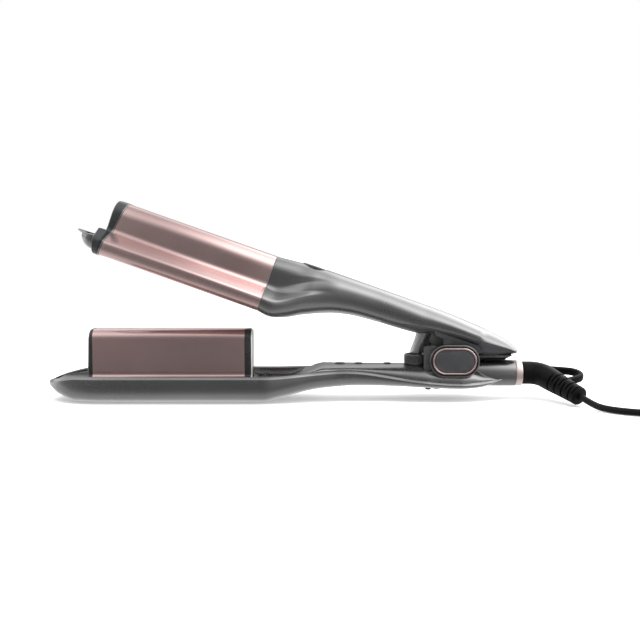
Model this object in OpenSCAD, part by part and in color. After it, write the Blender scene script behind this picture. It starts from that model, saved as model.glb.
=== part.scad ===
// Hair waver: a tray-shaped lower arm with a tall heated ridge, and a sprung upper
// arm with a heated bell-shaped jaw that closes over the ridge.
// Lengths along the arms are measured from the nose of the lower arm, heights from
// the flat bottom of its tray. The upper arm is described closed, then swung open.

/* [Lower arm] */
// Length of the lower arm from its nose to the collar
arm_l = 324.8; // [320:0.1:332]
// Width of the tray
tray_w = 56; // [52:0.5:62]
// Height of the tray's rim above its flat bottom
rim_h = 18.8; // [18:0.1:20]
// Height of the tip of the nose
nose_h = 13; // [11:0.5:15]
// Length of the rounded nose
nose_l = 40; // [34:1:46]
// Height of the tray's floor above its flat bottom
floor_h = 14.2; // [13.4:0.1:14.6]
// Height of the handle's top face
handle_h = 24.5; // [23.5:0.1:25.5]
// Width of the handle at its waist
waist_w = 32; // [29:0.5:35]
// Where the handle starts, as a share of the way from the ridge to the hinge
handle_from = 0.395; // [0.38:0.005:0.41]
// Where the ramp starts, as a share of the way from the ridge to the handle
ramp_from = 0.437; // [0.4:0.005:0.47]
// Wall of the mouldings
wall = 2; // [1.6:0.1:2.4]

/* [Heated ridge] */
// Distance from the nose to the ridge's front cap
ridge_x = 28.2; // [27:0.1:30]
// Length of the ridge with its end caps
ridge_l = 113.3; // [106:0.1:114]
// Thickness of the ridge
ridge_t = 19; // [17:0.5:20]
// Gap over the ridge, with the jaw closed
ridge_gap = 1.3; // [1:0.1:3]
// Radius of the ridge's top edges
ridge_r = 7; // [4:0.5:8]
// Length of the front end cap
front_cap_l = 3.8; // [3:0.1:6]
// Length of the rear end cap
rear_cap_l = 4.5; // [3:0.1:6]
// Sheet of the heating plates
plate_t = 1.5; // [1.2:0.1:1.8]

/* [Upper jaw] */
// Height of the crown's outside, with the jaw closed
crown_h = 54.5; // [54:0.1:56]
// Half width of the crown
crown_w = 15; // [14.8:0.1:15.4]
// Radius of the crown's edges
crown_r = 10; // [8:0.5:10.5]
// Half width of the channel that takes the ridge
channel_w = 11.5; // [11:0.1:11.7]
// Depth of the crown above the channel's roof
crown_t = 4.2; // [3.8:0.1:4.6]
// Radius of the side lobes
lobe_r = 8.25; // [8:0.05:8.4]
// Height of the lobes' centres, with the jaw closed
lobe_z = 24.6; // [24:0.1:25.5]
// Sheet of the jaw's cover
cover_t = 1.5; // [1.2:0.1:1.6]
// Front cap's length at the crown
cap_crown_l = 7; // [5:0.5:9]
// Front cap's length at the lobes
cap_lobe_l = 4; // [3:0.5:6]
// How far the front cap's lower part juts out at its top
nose_out = 2.3; // [1.5:0.1:3]
// Length of the cool tip in front of the cap
tip_l = 18.8; // [15:0.2:20]
// Width of the cool tip
tip_w = 25; // [20:0.5:28]

/* [Upper arm] */
// How far the upper arm's back rises above the crown
back_rise = 3.1; // [2:0.1:4.5]
// Width of the upper arm at its waist
back_w = 31; // [28:0.5:34]
// Where the liner starts, as a share of the way from the jaw to the hinge
seam_from = 0.56; // [0.54:0.01:0.58]
// Height of the tail's underside over the hinge pin, with the jaw open
stop_h = 2.4; // [1.5:0.1:4]
// Length of the tail behind the hinge
tail_l = 42.6; // [38:0.2:44]
// Diameter of the round inlay in the back
inlay_d = 18.5; // [15:0.5:20]
// Distance of the inlay's centre behind the jaw
inlay_gap = 27.6; // [26:0.2:34]

/* [Hinge] */
// Distance from the hinge pin to the collar
hinge_back = 44.4; // [42:0.1:46]
// Height of the hinge pin
hinge_h = 28.4; // [28:0.1:29]
// How far the jaw stands open
open_angle = 19.5; // [15:0.5:19.5]
// Diameter of the hinge pin
pin_d = 6; // [5:0.5:7]
// Length of an ear's stadium face
ear_l = 33.9; // [31:0.1:34]
// Height of an ear's stadium face
ear_h = 22.1; // [20:0.1:22.6]
// Distance between the ears
ear_gap = 28; // [27:0.5:29]
// Width across the ears
ear_w = 39; // [37:0.5:41]
// Length of the rose trim ring on an ear
trim_l = 30.2; // [27:0.1:30.8]
// Width of the trim ring's band
trim_band = 1.4; // [1:0.1:2]
// Wire of the torsion spring
spring_d = 1.2; // [1:0.1:1.4]

/* [Depth dial] */
// Distance of the dial in front of the hinge pin
dial_gap = 25.1; // [24.6:0.1:26]
// Outer diameter of the dial
dial_d = 17; // [16.4:0.2:17.4]
// Height of the dial
dial_h = 9.5; // [8:0.1:9.8]
// Bore of the dial
dial_bore = 14; // [13.8:0.1:14.2]
// Flutes round the dial
dial_flutes = 22; // [16:1:28]
// Diameter of the post on the upper arm
post_d = 10; // [8:0.5:10.4]

/* [Buttons] */
// Diameter of the power button
power_d = 7.4; // [6:0.1:8]
// Diameter of the hotter button
hotter_d = 5.8; // [5:0.1:6.4]
// Diameter of the cooler button
cooler_d = 5.3; // [5:0.1:6.4]
// How far a button stands proud
button_proud = 0.7; // [0.4:0.1:1]
// How far a button travels
button_travel = 0.6; // [0.4:0.1:0.8]
// Power button's distance from the hinge pin, as a share of the handle
power_at = 0.921; // [0.91:0.005:0.94]
// Hotter button's distance from the hinge pin, as a share of the handle
hotter_at = 0.767; // [0.75:0.005:0.78]
// Cooler button's distance from the hinge pin, as a share of the handle
cooler_at = 0.529; // [0.52:0.005:0.54]

/* [Cord end] */
// Radius of the round rear end of the lower arm
tube_r = 9.3; // [9:0.1:10]
// Height of its centre line
tube_h = 17.9; // [17.6:0.1:18.4]
// Length of the rose collar
collar_l = 4.6; // [3:0.1:6]
// Diameter of the elbow where it leaves the collar
elbow_d = 16; // [14:0.2:17]
// Diameter at the elbow's tip
elbow_tip_d = 12.7; // [11:0.1:12.8]
// Angle that the elbow bends through
elbow_bend = 62; // [50:1:70]
// Radius of the elbow's centre line
bend_r = 12; // [10:0.5:14]
// Straight stretch between collar and bend
elbow_neck = 5.7; // [4:0.1:7]
// Length of the ribbed leg after the bend
leg_l = 33.5; // [28:0.5:34]
// How far the elbow is turned from straight down
elbow_turn = 72; // [70:1:80]
// Diameter of the cord
cord_d = 4.5; // [4.2:0.1:5]

/* [Hidden] */
$fn = 64;

// Gaps: between moving pieces, between fixed pieces, and a running fit
clear = 0.4;
seat = 0.1;
fit = 0.06;
eps = 0.01;

// Colours
body_grey = "#6c6d70";
liner_grey = "#4a4b4e";
rose = "#b08f8c";
pale_rose = "#dcc4be";
black = "#1c1c1e";

// Heights that follow the crown
channel_h = crown_h - crown_t;
ridge_h = channel_h - ridge_gap;
back_h = crown_h + back_rise;

// Places along the arms
hinge_x = arm_l - hinge_back;
ridge_end = ridge_x + ridge_l;
housing_x = ridge_end + 1.5;
dial_x = hinge_x - dial_gap;
half_w = tray_w / 2;
handle_x = ridge_end + handle_from * (hinge_x - ridge_end);
handle_l = hinge_x - handle_x;
ramp_x = ridge_end + ramp_from * (handle_x - ridge_end);
total_l = arm_l + collar_l;
tail_x = hinge_x + tail_l;

// ---------- shared functions ----------

// Smooth curve through [place, value] keys that never overshoots them
function key_at(keys, x, i = 0) =
    i >= len(keys) - 2 || x < keys[i + 1][0] ? i : key_at(keys, x, i + 1);
function rise(keys, i) =
    (keys[i + 1][1] - keys[i][1]) / (keys[i + 1][0] - keys[i][0]);
function slope(keys, i) =
    i == 0 ? rise(keys, 0)
    : i == len(keys) - 1 ? rise(keys, i - 1)
    : rise(keys, i - 1) * rise(keys, i) <= 0 ? 0
    : 2 * rise(keys, i - 1) * rise(keys, i) / (rise(keys, i - 1) + rise(keys, i));
function glide(keys, x) =
    let (i = key_at(keys, x), a = keys[i], b = keys[i + 1], h = b[0] - a[0],
        t = min(max((x - a[0]) / h, 0), 1))
    a[1] * (1 + 2 * t) * (1 - t) * (1 - t) + slope(keys, i) * h * t * (1 - t) * (1 - t)
    + b[1] * t * t * (3 - 2 * t) + slope(keys, i + 1) * h * t * t * (t - 1);

// Places evenly spread between a and b, without either
function between(a, b, n) = [for (i = [1:n]) a + (b - a) * i / (n + 1)];
// Points of an arc from angle a to angle b
function arc(c, r, a, b, n) =
    [for (i = [0:n]) c + r * [cos(a + (b - a) * i / n), sin(a + (b - a) * i / n)]];
// A power that keeps the sign
function signed_pow(v, p) = sign(v) * pow(abs(v), p);
// Point of a superellipse with exponent n
function oval(t, n) = [signed_pow(cos(t), 2 / n), signed_pow(sin(t), 2 / n)];
function mirrored(half) =
    concat(half, [for (i = [len(half) - 1:-1:0]) if (half[i][0] > eps) [-half[i][0], half[i][1]]]);

// Triangles across a closed ring whose points i and n - 1 - i face each other
function ladder(n, from) = [for (i = [0:floor((n - 3) / 2)])
    let (a = from + i, b = a + 1, c = from + n - 2 - i, d = c + 1)
    each b == c ? [[a, b, d]] : [[a, b, c], [a, c, d]]];
// A solid through rings of points, all with the same number of points
module loft(rings) {
    n = len(rings[0]);
    m = len(rings);
    sides = [for (r = [0:m - 2], i = [0:n - 1])
        let (a = r * n + i, b = r * n + (i + 1) % n, c = b + n, d = a + n)
        each [[a, b, c], [a, c, d]]];
    polyhedron(
        points = [for (ring = rings) each ring],
        faces = concat([for (f = ladder(n, 0)) [f[0], f[2], f[1]]], sides,
            ladder(n, (m - 1) * n)),
        convexity = 6);
}

// A section in the Y-Z plane, placed at x. Its points run clockwise seen from +X
function placed(section, x) = [for (p = section) [x, p[0], p[1]]];

// Extrudes a Y-Z section along X
module along_x(x0, x1) {
    translate([x0, 0, 0]) rotate([90, 0, 90]) linear_extrude(height = x1 - x0) children();
}
// Extrudes an X-Z profile across Y, centred
module across_y(w) {
    translate([0, w / 2, 0]) rotate([90, 0, 0]) linear_extrude(height = w) children();
}
module rod_x(r, x0, x1, z) {
    translate([x0, 0, z]) rotate([0, 90, 0]) cylinder(r = r, h = x1 - x0);
}
module rod_y(r, y0, y1) {
    translate([hinge_x, y0, hinge_h]) rotate([-90, 0, 0]) cylinder(r = r, h = y1 - y0);
}
module stadium(l, h) {
    translate([-(l - h) / 2, -h / 2]) square([l - h, h]);
    for (s = [-1, 1]) translate([s * (l - h) / 2, 0]) circle(d = h);
}
module open_arm() {
    translate([hinge_x, 0, hinge_h]) rotate([0, open_angle, 0])
        translate([-hinge_x, 0, -hinge_h]) children();
}
module whole() {
    translate([-total_l / 2, 0, 0]) children();
}

// ---------- lower arm ----------

seam_end = hinge_x + 34.6;
// The tray's keel would dip this far below the flat it is cut off at
flat_dip = 0.6;
rim_keys = [[0, nose_h], [8, nose_h + 2.9], [26, rim_h], [ridge_end + 8, rim_h],
    [handle_x + 10, rim_h + 2.6], [hinge_x - 23, rim_h - 3.6], [hinge_x + 4, rim_h - 5.3],
    [seam_end, rim_h - 4.1]];
keel_keys = [[0, nose_h - 0.8], [3, nose_h - 4.8], [9, 3.4], [22, -flat_dip], [ridge_end + 8, -flat_dip],
    [ridge_end + 20, 2], [handle_x - 7, 7.5], [handle_x + 21, 9.4], [hinge_x - 35, 8.8],
    [hinge_x + 6, 7.4], [hinge_x + 20, 8.2], [hinge_x + 28, 10.6], [seam_end, rim_h - 4.7]];
side_keys = [[nose_l, half_w], [ridge_end + 8, half_w], [ridge_end + 24, half_w - 2.8],
    [handle_x - 10, waist_w / 2 + 3.4], [handle_x + 6, waist_w / 2 + 0.6],
    [handle_x + 24, waist_w / 2], [hinge_x - 36, waist_w / 2 + 1.2],
    [hinge_x - 17, ear_w / 2 + 0.3], [hinge_x + 15, ear_w / 2 + 0.3],
    [hinge_x + 26, tube_r + 1], [seam_end, tube_r - 0.2]];
top_keys = [[ridge_end, floor_h], [ridge_end + 4, floor_h - 1.6], [ramp_x, floor_h - 1.4],
    [handle_x - 14, rim_h + 2.4], [handle_x - 4, handle_h], [hinge_x - 18, handle_h],
    [hinge_x + 10, handle_h - 0.8], [hinge_x + 26, tube_h]];
crown_keys = [[ridge_end, 5], [ramp_x, 5], [handle_x, 2.5], [hinge_x + 26, 2]];
box_keys = [[0, 2.2], [nose_l, 3.2], [ridge_end + 8, 3.2], [handle_x, 2.3], [seam_end, 2]];

// Half width, rim height, keel height, top height and how square a section is
function side_at(x) =
    x < nose_l ? max(half_w * sqrt(1 - pow((nose_l - x) / nose_l, 2)), 1.6)
    : glide(side_keys, x);
function rim_at(x) = glide(rim_keys, x);
function keel_at(x) = glide(keel_keys, x);
function top_at(x) = x < ridge_end ? min(floor_h, rim_at(x) - 1.3) : glide(top_keys, x);

// Section of the lower shell's outside below the rim line, and of its hollow
function hull_ring(x) =
    let (w = side_at(x), deep = rim_at(x) - keel_at(x), n = glide(box_keys, x))
    [for (i = [0:20]) let (p = oval(-i * 9, n)) [w * p[0], max(rim_at(x) + deep * p[1], 0)]];
function cavity_ring(x) =
    let (w = max(side_at(x) - wall, 1), deep = max(rim_at(x) - keel_at(x) - wall, 0.8),
        n = glide(box_keys, x))
    concat([[w, rim_at(x) + 2]],
        [for (i = [0:14]) let (p = oval(-i * 180 / 14, n)) [w * p[0], rim_at(x) + deep * p[1]]],
        [[-w, rim_at(x) + 2]]);

nose_x = [for (f = [0.125, 0.2, 0.3, 0.425, 0.575, 0.775, 1]) f * nose_l];
hull_x = concat([0, nose_x[0] / 5, nose_x[0] / 2], nose_x,
    [(nose_l + ridge_end) / 2, ridge_end + 8, ridge_end + 14],
    between(ridge_end + 14, handle_x - 9, 3), [handle_x - 9, handle_x, handle_x + 12],
    between(handle_x + 12, hinge_x - 35, 2), [hinge_x - 35, hinge_x - 26, hinge_x - 17, hinge_x,
    hinge_x + 10, hinge_x + 16, hinge_x + 21, hinge_x + 26, hinge_x + 31, seam_end]);
cavity_x = concat(nose_x, [ridge_end + 8, ridge_end + 16],
    between(ridge_end + 16, handle_x - 12, 1), [handle_x - 12, handle_x, handle_x + 16,
    hinge_x - 35, hinge_x - 20]);

front_screw_x = handle_x - 5;
lower_screw_at = [[front_screw_x, 0], [hinge_x - 11, 10], [hinge_x - 11, -10]];
head_deep = 2.2;
pillar_top = keel_at(front_screw_x) + head_deep + wall;
screw_r = 1.5;
screw_head_r = 2.7;

module lower_shell() color(body_grey) whole() difference() {
    union() {
        difference() {
            loft([for (x = hull_x) placed(hull_ring(x), x)]);
            loft([for (x = cavity_x) placed(cavity_ring(x), x)]);
        }
        translate([front_screw_x, 0, pillar_top - head_deep - wall + 0.5])
            cylinder(r = screw_head_r + 1.5, h = head_deep + wall - 0.5);
    }
    rod_x(tube_r + seat, tube_x - seat, total_l, tube_h);
    lower_screw_holes();
    translate([rear_foot_x, 0, 0]) cylinder(r = foot_stem_r, h = 20);
    translate([front_foot_x, 0, -1]) cylinder(r = foot_r + seat, h = 1 + foot_sunk);
}
// Counterbored holes for the screws that hold the handle together
module lower_screw_holes() {
    for (p = lower_screw_at) translate([p[0], p[1], 0]) {
        cylinder(r = screw_r + seat, h = 40);
        cylinder(r = screw_head_r + 0.2, h = keel_at(p[0]) + head_deep);
    }
}

// The tray's inner deck: a thin dish that closes the lower shell and ramps up to the handle
function dish(x, y, edge) =
    let (n = x < ridge_end ? 5 : glide(crown_keys, x), u = min(abs(y) / edge, 1), low = rim_at(x) - land_drop)
    low + (top_at(x) - low) * pow(1 - pow(u, n), 1 / n);
deck_t = 1.8;
land_w = 1.2;
land_drop = 0.9;
ramp_end = handle_x - 12;
// Half width of the lower shell's hollow at height z
function hollow_at(x, z) =
    let (n = glide(box_keys, x), deep = rim_at(x) - keel_at(x) - wall)
    (side_at(x) - wall) * pow(max(1 - pow(min((rim_at(x) - z) / deep, 1), n), 0), 1 / n);
function deck_ring(x) =
    let (out = side_at(x) - wall - seat, edge = out - min(land_w, out / 4),
        line = [for (i = [0:24]) edge * sin(-90 + i * 7.5)],
        under = [for (y = line) dish(x, 0.93 * y, edge) - deck_t])
    concat([[-out, rim_at(x)]], [for (y = line) [y, dish(x, y, edge)]], [[out, rim_at(x)]],
        [for (i = [24:-1:0]) let (reach = hollow_at(x, under[i]) - 3 * seat, wide = line[i] * out / edge)
            [min(max(wide, -reach), reach), under[i]]]);
deck_x = concat([nose_x[0] + 1], [for (i = [1:6]) nose_x[i]], [ridge_end, ridge_end + 2,
    ridge_end + 4, ridge_end + 8], between(ridge_end + 8, ramp_x, 1), [ramp_x],
    between(ramp_x, ramp_end - seat, 3), [ramp_end - seat]);
module tray_deck() color(body_grey) whole()
    loft([for (x = deck_x) placed(deck_ring(x), x)]);

// ---------- handle cover, with the hinge ears and the round rear end ----------

function cover_ring(x, inset) =
    let (w = side_at(x) - inset, n = glide(crown_keys, x),
        low = rim_at(x) + seat - (inset > 0 ? 2 : 0), high = top_at(x) - inset)
    concat([[-w, low]],
        [for (i = [1:19]) let (y = -w * cos(i * 9))
            [y, rim_at(x) + seat + (high - rim_at(x) - seat) * pow(1 - pow(abs(y) / w, n), 1 / n)]],
        [[w, low]]);
cover_stations = concat([ramp_end, handle_x - 8, handle_x - 4, handle_x, handle_x + 12],
    between(handle_x + 12, hinge_x - 35, 2), [hinge_x - 35, hinge_x - 26, hinge_x - 17, hinge_x,
    hinge_x + 10, hinge_x + 16, hinge_x + 21, hinge_x + 26]);
hollow_stations = concat([handle_x - 4, handle_x + 6],
    between(handle_x + 6, hinge_x - 36, 2), [hinge_x - 36]);

tube_x = hinge_x + 14;
lug_w = ear_gap - 2 * clear;
lug_r = 9.4;
bore_r = tube_r - 2;
bore_x = hinge_x + 27;
spigot_r = dial_bore / 2 - fit;
spigot_wall = 0.9;
spigot_h = 3;
well_h = 3.5;
boss_r = 3.4;

module handle_cover() color(body_grey) whole() {
    difference() {
        union() {
            loft([for (x = cover_stations) placed(cover_ring(x, 0), x)]);
            rod_x(tube_r, tube_x, arm_l, tube_h);
            for (s = [-1, 1]) ear(s);
            translate([dial_x, 0, handle_h - 1.5]) cylinder(r = spigot_r, h = spigot_h + 1.5);
            translate([front_screw_x, 0, pillar_top + seat])
                cylinder(r = boss_r, h = handle_h - wall - pillar_top);
        }
        difference() {
            loft([for (x = hollow_stations) placed(cover_ring(x, wall), x)]);
            translate([front_screw_x, 0, 0]) cylinder(r = boss_r, h = handle_h);
        }
        rod_x(bore_r, bore_x, total_l, tube_h);
        rod_y(lug_r + clear + 0.2, -ear_gap / 2, ear_gap / 2);
        translate([hinge_x - 8, -ear_gap / 2, hinge_h - 6]) cube([24, ear_gap, 30]);
        rod_y(pin_d / 2 + fit, -ear_w, ear_w);
        for (s = [-1, 1]) ear_recess(s);
        for (b = buttons) button_hole(b[0], b[1]);
        translate([dial_x, 0, handle_h - well_h])
            cylinder(r = spigot_r - spigot_wall, h = well_h + spigot_h + 1);
        for (p = lower_screw_at) translate([p[0], p[1], 0])
            cylinder(r = screw_r + 0.1, h = keel_at(p[0]) + screw_l + 0.8);
    }
}
function reversed(list) = [for (i = [len(list) - 1:-1:0]) list[i]];

screw_l = 8.5;
ear_t = (ear_w - ear_gap) / 2;
ear_back = 2;
ear_low = rim_at(hinge_x + 4 - ear_l / 2) + 2 * seat;
module ear(side) {
    translate([hinge_x, side * (ear_gap + ear_t) / 2, hinge_h]) {
        across_y(ear_t) stadium(ear_l, ear_h);
        translate([4 - ear_l / 2, -ear_t / 2 + (side < 0 ? ear_back : 0), ear_low - hinge_h])
            cube([ear_l - 8, ear_t - ear_back, ear_h / 2]);
    }
}
recess_t = 1;
trim_h = trim_l - ear_l + ear_h - 0.8;
module ear_recess(side) {
    translate([hinge_x, side * (ear_w - recess_t) / 2, hinge_h])
        across_y(recess_t + 2 * eps) stadium(trim_l + 2 * seat, trim_h + 2 * seat);
}

// ---------- hinge covers, trims, pin and spring ----------

cover_proud = 0.5;
module hinge_cover(side) {
    translate([hinge_x, side * (ear_w / 2 - recess_t + seat + cover_proud), hinge_h])
        across_y(2 * cover_proud)
            stadium(trim_l - 2 * trim_band - 2 * seat, trim_h - 2 * trim_band - 2 * seat);
}
module hinge_trim(side) {
    translate([hinge_x, side * (ear_w / 2 - recess_t / 2 + seat + cover_proud / 2), hinge_h])
        across_y(recess_t + cover_proud) difference() {
            stadium(trim_l, trim_h);
            stadium(trim_l - 2 * trim_band, trim_h - 2 * trim_band);
        }
}
module hinge_cover_right() color(liner_grey) whole() hinge_cover(-1);
module hinge_cover_left() color(liner_grey) whole() hinge_cover(1);
module hinge_trim_right() color(rose) whole() hinge_trim(-1);
module hinge_trim_left() color(rose) whole() hinge_trim(1);

pin_l = ear_w - 2 * recess_t - 0.4;
module hinge_pin() color("silver") whole() rod_y(pin_d / 2, -pin_l / 2, pin_l / 2);

cheek_gap = 13;
spring_turns = 6;
spring_r = pin_d / 2 + spring_d / 2 + 0.3;
spring_pitch = (cheek_gap - 3 * spring_d) / spring_turns;
spring_leg = 7.5;
// Wire round the pin, with a straight leg at each end
function spring_line() = concat(
    [[-spring_leg, -spring_turns * spring_pitch / 2, -spring_r]],
    [for (i = [0:spring_turns * 16])
        let (a = -90 - i * 22.5)
        [spring_r * cos(a), spring_pitch * (i / 16 - spring_turns / 2), spring_r * sin(a)]],
    [[-spring_leg, spring_turns * spring_pitch / 2, -spring_r + 0.8]]);
module torsion_spring() color("dimgray") whole()
    translate([hinge_x, 0, hinge_h]) tube(spring_line(), spring_d / 2, 6);

// ---------- swept tube ----------

function unit(v) = v / norm(v);
function heading(line, i) =
    unit(line[min(i + 1, len(line) - 1)] - line[max(i - 1, 0)]);
// Turns the ring's side vector from one heading to the next without twist
function carried(side, d) = unit(side - (side * d) * d);
function sides_along(line, i, side) =
    i >= len(line) ? []
    : let (s = carried(side, heading(line, i))) concat([s], sides_along(line, i + 1, s));
module tube(line, r, n) {
    first = heading(line, 0);
    start = abs(first[2]) < 0.9 ? cross(first, [0, 0, 1]) : cross(first, [0, 1, 0]);
    sides = sides_along(line, 0, start);
    loft([for (i = [0:len(line) - 1])
        let (d = heading(line, i), s = sides[i], u = cross(d, s))
        [for (k = [0:n - 1]) line[i] + r * (cos(-k * 360 / n) * s + sin(-k * 360 / n) * u)]]);
}

// ---------- heated ridge ----------

half_ridge = ridge_t / 2;
base_w = half_ridge + 3;
base_t = 1.6;
ridge_z = floor_h + seat;
// Outline of the ridge: rounded top, and a flared foot that stands on the deck
function ridge_outline(d, foot) =
    mirrored(concat([[0, ridge_h - d]],
        arc([half_ridge - ridge_r, ridge_h - ridge_r], ridge_r - d, 90, 0, 8),
        foot > 0 ? concat(
            arc([half_ridge + foot, ridge_z + base_t + foot], foot, 180, 270, 4),
            [[base_w + 0.4, ridge_z + base_t], [base_w + 0.4, ridge_z], [0, ridge_z]])
        : [[half_ridge - d, ridge_z + d], [0, ridge_z + d]]));
module lower_plate() color(rose) whole() difference() {
    along_x(ridge_x + front_cap_l + seat, ridge_end - rear_cap_l - seat)
        polygon(ridge_outline(0, 3));
    along_x(ridge_x, ridge_end) polygon(ridge_outline(plate_t + 0.5, 0));
}
module ridge_cap(x0, x1) {
    along_x(x0, x1) polygon(ridge_outline(0, 3));
}
cap_plug = 3;
module ridge_plug(x0, x1) {
    along_x(x0, x1) polygon(ridge_outline(plate_t + 0.5 + seat, 0));
}
module ridge_front_cap() color(black) whole() {
    ridge_cap(ridge_x, ridge_x + front_cap_l);
    ridge_plug(ridge_x + front_cap_l - eps, ridge_x + front_cap_l + cap_plug);
}
module ridge_rear_cap() color(black) whole() {
    ridge_cap(ridge_end - rear_cap_l, ridge_end);
    ridge_plug(ridge_end - rear_cap_l - cap_plug, ridge_end - rear_cap_l + eps);
}
heater_t = 5;
heater_h = 18;
heater_inset = 12;
// A heater sandwich that stands on the floor of the hollow ridge, held by ribs
module lower_heater() color("ivory") whole() {
    low = ridge_z + plate_t + 0.5 + seat;
    x0 = ridge_x + heater_inset;
    x1 = ridge_end - heater_inset;
    translate([x0, -heater_t / 2, low]) cube([x1 - x0, heater_t, heater_h]);
    for (x = [x0, (x0 + x1) / 2, x1]) translate([x - 1, -half_ridge + plate_t + 0.5 + seat, low])
        cube([2, ridge_t - 2 * (plate_t + 0.5 + seat), heater_h - 4]);
}

// ---------- buttons and board ----------

buttons = [[hinge_x - power_at * handle_l, power_d], [hinge_x - hotter_at * handle_l, hotter_d],
    [hinge_x - cooler_at * handle_l, cooler_d]];
flange_w = 0.8;
flange_t = 1.2;
button_gap = 0.3;
module button_hole(x, d) {
    translate([x, 0, handle_h - wall - 2]) cylinder(d = d + 2 * button_gap, h = wall + 4);
}
module button(x, d) {
    low = handle_h - wall - button_gap;
    translate([x, 0, 0]) {
        translate([0, 0, low - flange_t]) cylinder(r = d / 2 + flange_w, h = flange_t);
        translate([0, 0, low - eps]) cylinder(d = d, h = handle_h + button_proud - low - 0.5);
        translate([0, 0, handle_h + button_proud - 0.5 - 2 * eps])
            cylinder(d1 = d, d2 = d - 1, h = 0.5);
    }
}
module power_button() color(liner_grey) whole() button(buttons[0][0], buttons[0][1]);
module hotter_button() color(liner_grey) whole() button(buttons[1][0], buttons[1][1]);
module cooler_button() color(liner_grey) whole() button(buttons[2][0], buttons[2][1]);

board_t = 1.6;
board_w = 20;
switch_w = 4.5;
switch_top = handle_h - wall - button_gap - flange_t - button_travel - 0.3;
board_z = switch_top - 3.2 - board_t;
// Circuit board with a switch below each button and feet on the lower shell
module control_board() color("darkgreen") whole() {
    x0 = buttons[0][0] + 2;
    x1 = buttons[2][0] + 8;
    translate([x0 - 4, -board_w / 2, board_z]) cube([x1 - x0 + 4, board_w, board_t]);
    for (b = buttons) translate([b[0] - switch_w / 2, -switch_w / 2, board_z + board_t - eps])
        cube([switch_w, switch_w, switch_top - board_z - board_t]);
    for (x = [x0 + 12, x1 - 6], s = [-1, 1]) {
        low = shell_floor(x, board_w / 2 - 1.5) + seat;
        translate([x, s * (board_w / 2 - 3), low]) cylinder(r = 1.5, h = board_z - low + eps);
    }
}
// Height of the lower shell's inside at a place off the middle
function shell_floor(x, y) =
    let (w = side_at(x) - wall, n = glide(box_keys, x))
    rim_at(x) - (rim_at(x) - keel_at(x) - wall) * pow(1 - pow(y / w, n), 1 / n);

// ---------- depth dial ----------

flute_r = 0.8;
module depth_dial() color(liner_grey) whole() translate([dial_x, 0, handle_h + seat]) difference() {
    rotate_extrude() polygon([[dial_bore / 2, 0], [dial_d / 2, 0], [dial_d / 2, dial_h - 1.2],
        [dial_d / 2 - 1.2, dial_h - seat], [dial_bore / 2, dial_h - seat]]);
    for (i = [0:dial_flutes - 1]) rotate([0, 0, i * 360 / dial_flutes])
        translate([dial_d / 2 + flute_r * 0.35, 0, -1]) cylinder(r = flute_r, h = dial_h + 2);
}

// ---------- collar, feet and screws ----------

neck_r = 6.2;
module collar_ring() color(pale_rose) whole() difference() {
    rod_x(tube_r, arm_l, total_l, tube_h);
    rod_x(neck_r + fit, arm_l - 1, total_l + 1, tube_h);
}
rear_foot_x = hinge_x - 17.4;
foot_r = 2.2;
foot_stem_r = 1.5;
front_foot_x = 30;
foot_sunk = 0.7;
module foot_pads() color(black) whole() {
    translate([front_foot_x, 0, 0]) cylinder(r = foot_r, h = foot_sunk - seat);
    translate([rear_foot_x, 0, keel_at(rear_foot_x) - 1.4]) cylinder(r = foot_r, h = 1.3);
    translate([rear_foot_x, 0, keel_at(rear_foot_x) - 0.2]) cylinder(r = foot_stem_r - 0.05, h = 3);
}
module screw(l) {
    cylinder(r = screw_head_r, h = 1.6);
    translate([0, 0, 1.5]) cylinder(r = screw_r, h = l - 1.5);
}
module lower_screws() color("silver") whole()
    for (p = lower_screw_at) translate([p[0], p[1], keel_at(p[0]) + 0.5]) screw(screw_l);

// ---------- upper jaw, closed ----------

lobe_y = half_w - lobe_r;
valley_r = 5;
valley_z = lobe_z + 12.2;
shoulder_r = 3.5;
valley_end = 239.5;
// Half of the jaw's outside from the top of the crown to a lobe's widest point
function jaw_half(d) = concat([[0, crown_h - d]],
    arc([crown_w - crown_r, crown_h - crown_r], crown_r - d, 90, 0, 7),
    arc([crown_w + valley_r, valley_z], valley_r + d, 180, valley_end, 4),
    arc([half_w - shoulder_r, lobe_z], shoulder_r - d, valley_end - 180, 0, 4));
// Half of the jaw's inside, from a lobe's widest point to the roof of the channel
function channel_half(d) = concat(
    arc([lobe_y, lobe_z], lobe_r - d, 0, -180, 14),
    arc([channel_w - 6.5, channel_h - 6.5], 6.5 + d, 0, 90, 6), [[0, channel_h + d]]);

// Slanted planes at the front of the jaw: the cap's front and its joint with the plates
cap_front = ridge_x - 2.2;
cap_lean = 2.7;
jaw_low = lobe_z - lobe_r;
function lean(x0, top_x, z) = x0 + (top_x - x0) * (z - jaw_low) / (crown_h - jaw_low);
module behind(low_x, top_x, end_x) {
    across_y(tray_w + 10) polygon([
        [lean(low_x, top_x, jaw_low - 10), jaw_low - 10], [lean(low_x, top_x, crown_h + 10), crown_h + 10],
        [end_x, crown_h + 10], [end_x, jaw_low - 10]]);
}
cap_back_low = cap_front + cap_lobe_l;
cap_back_top = cap_front + cap_lean + cap_crown_l;
jaw_sheet_front = cap_front + 2;

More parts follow.
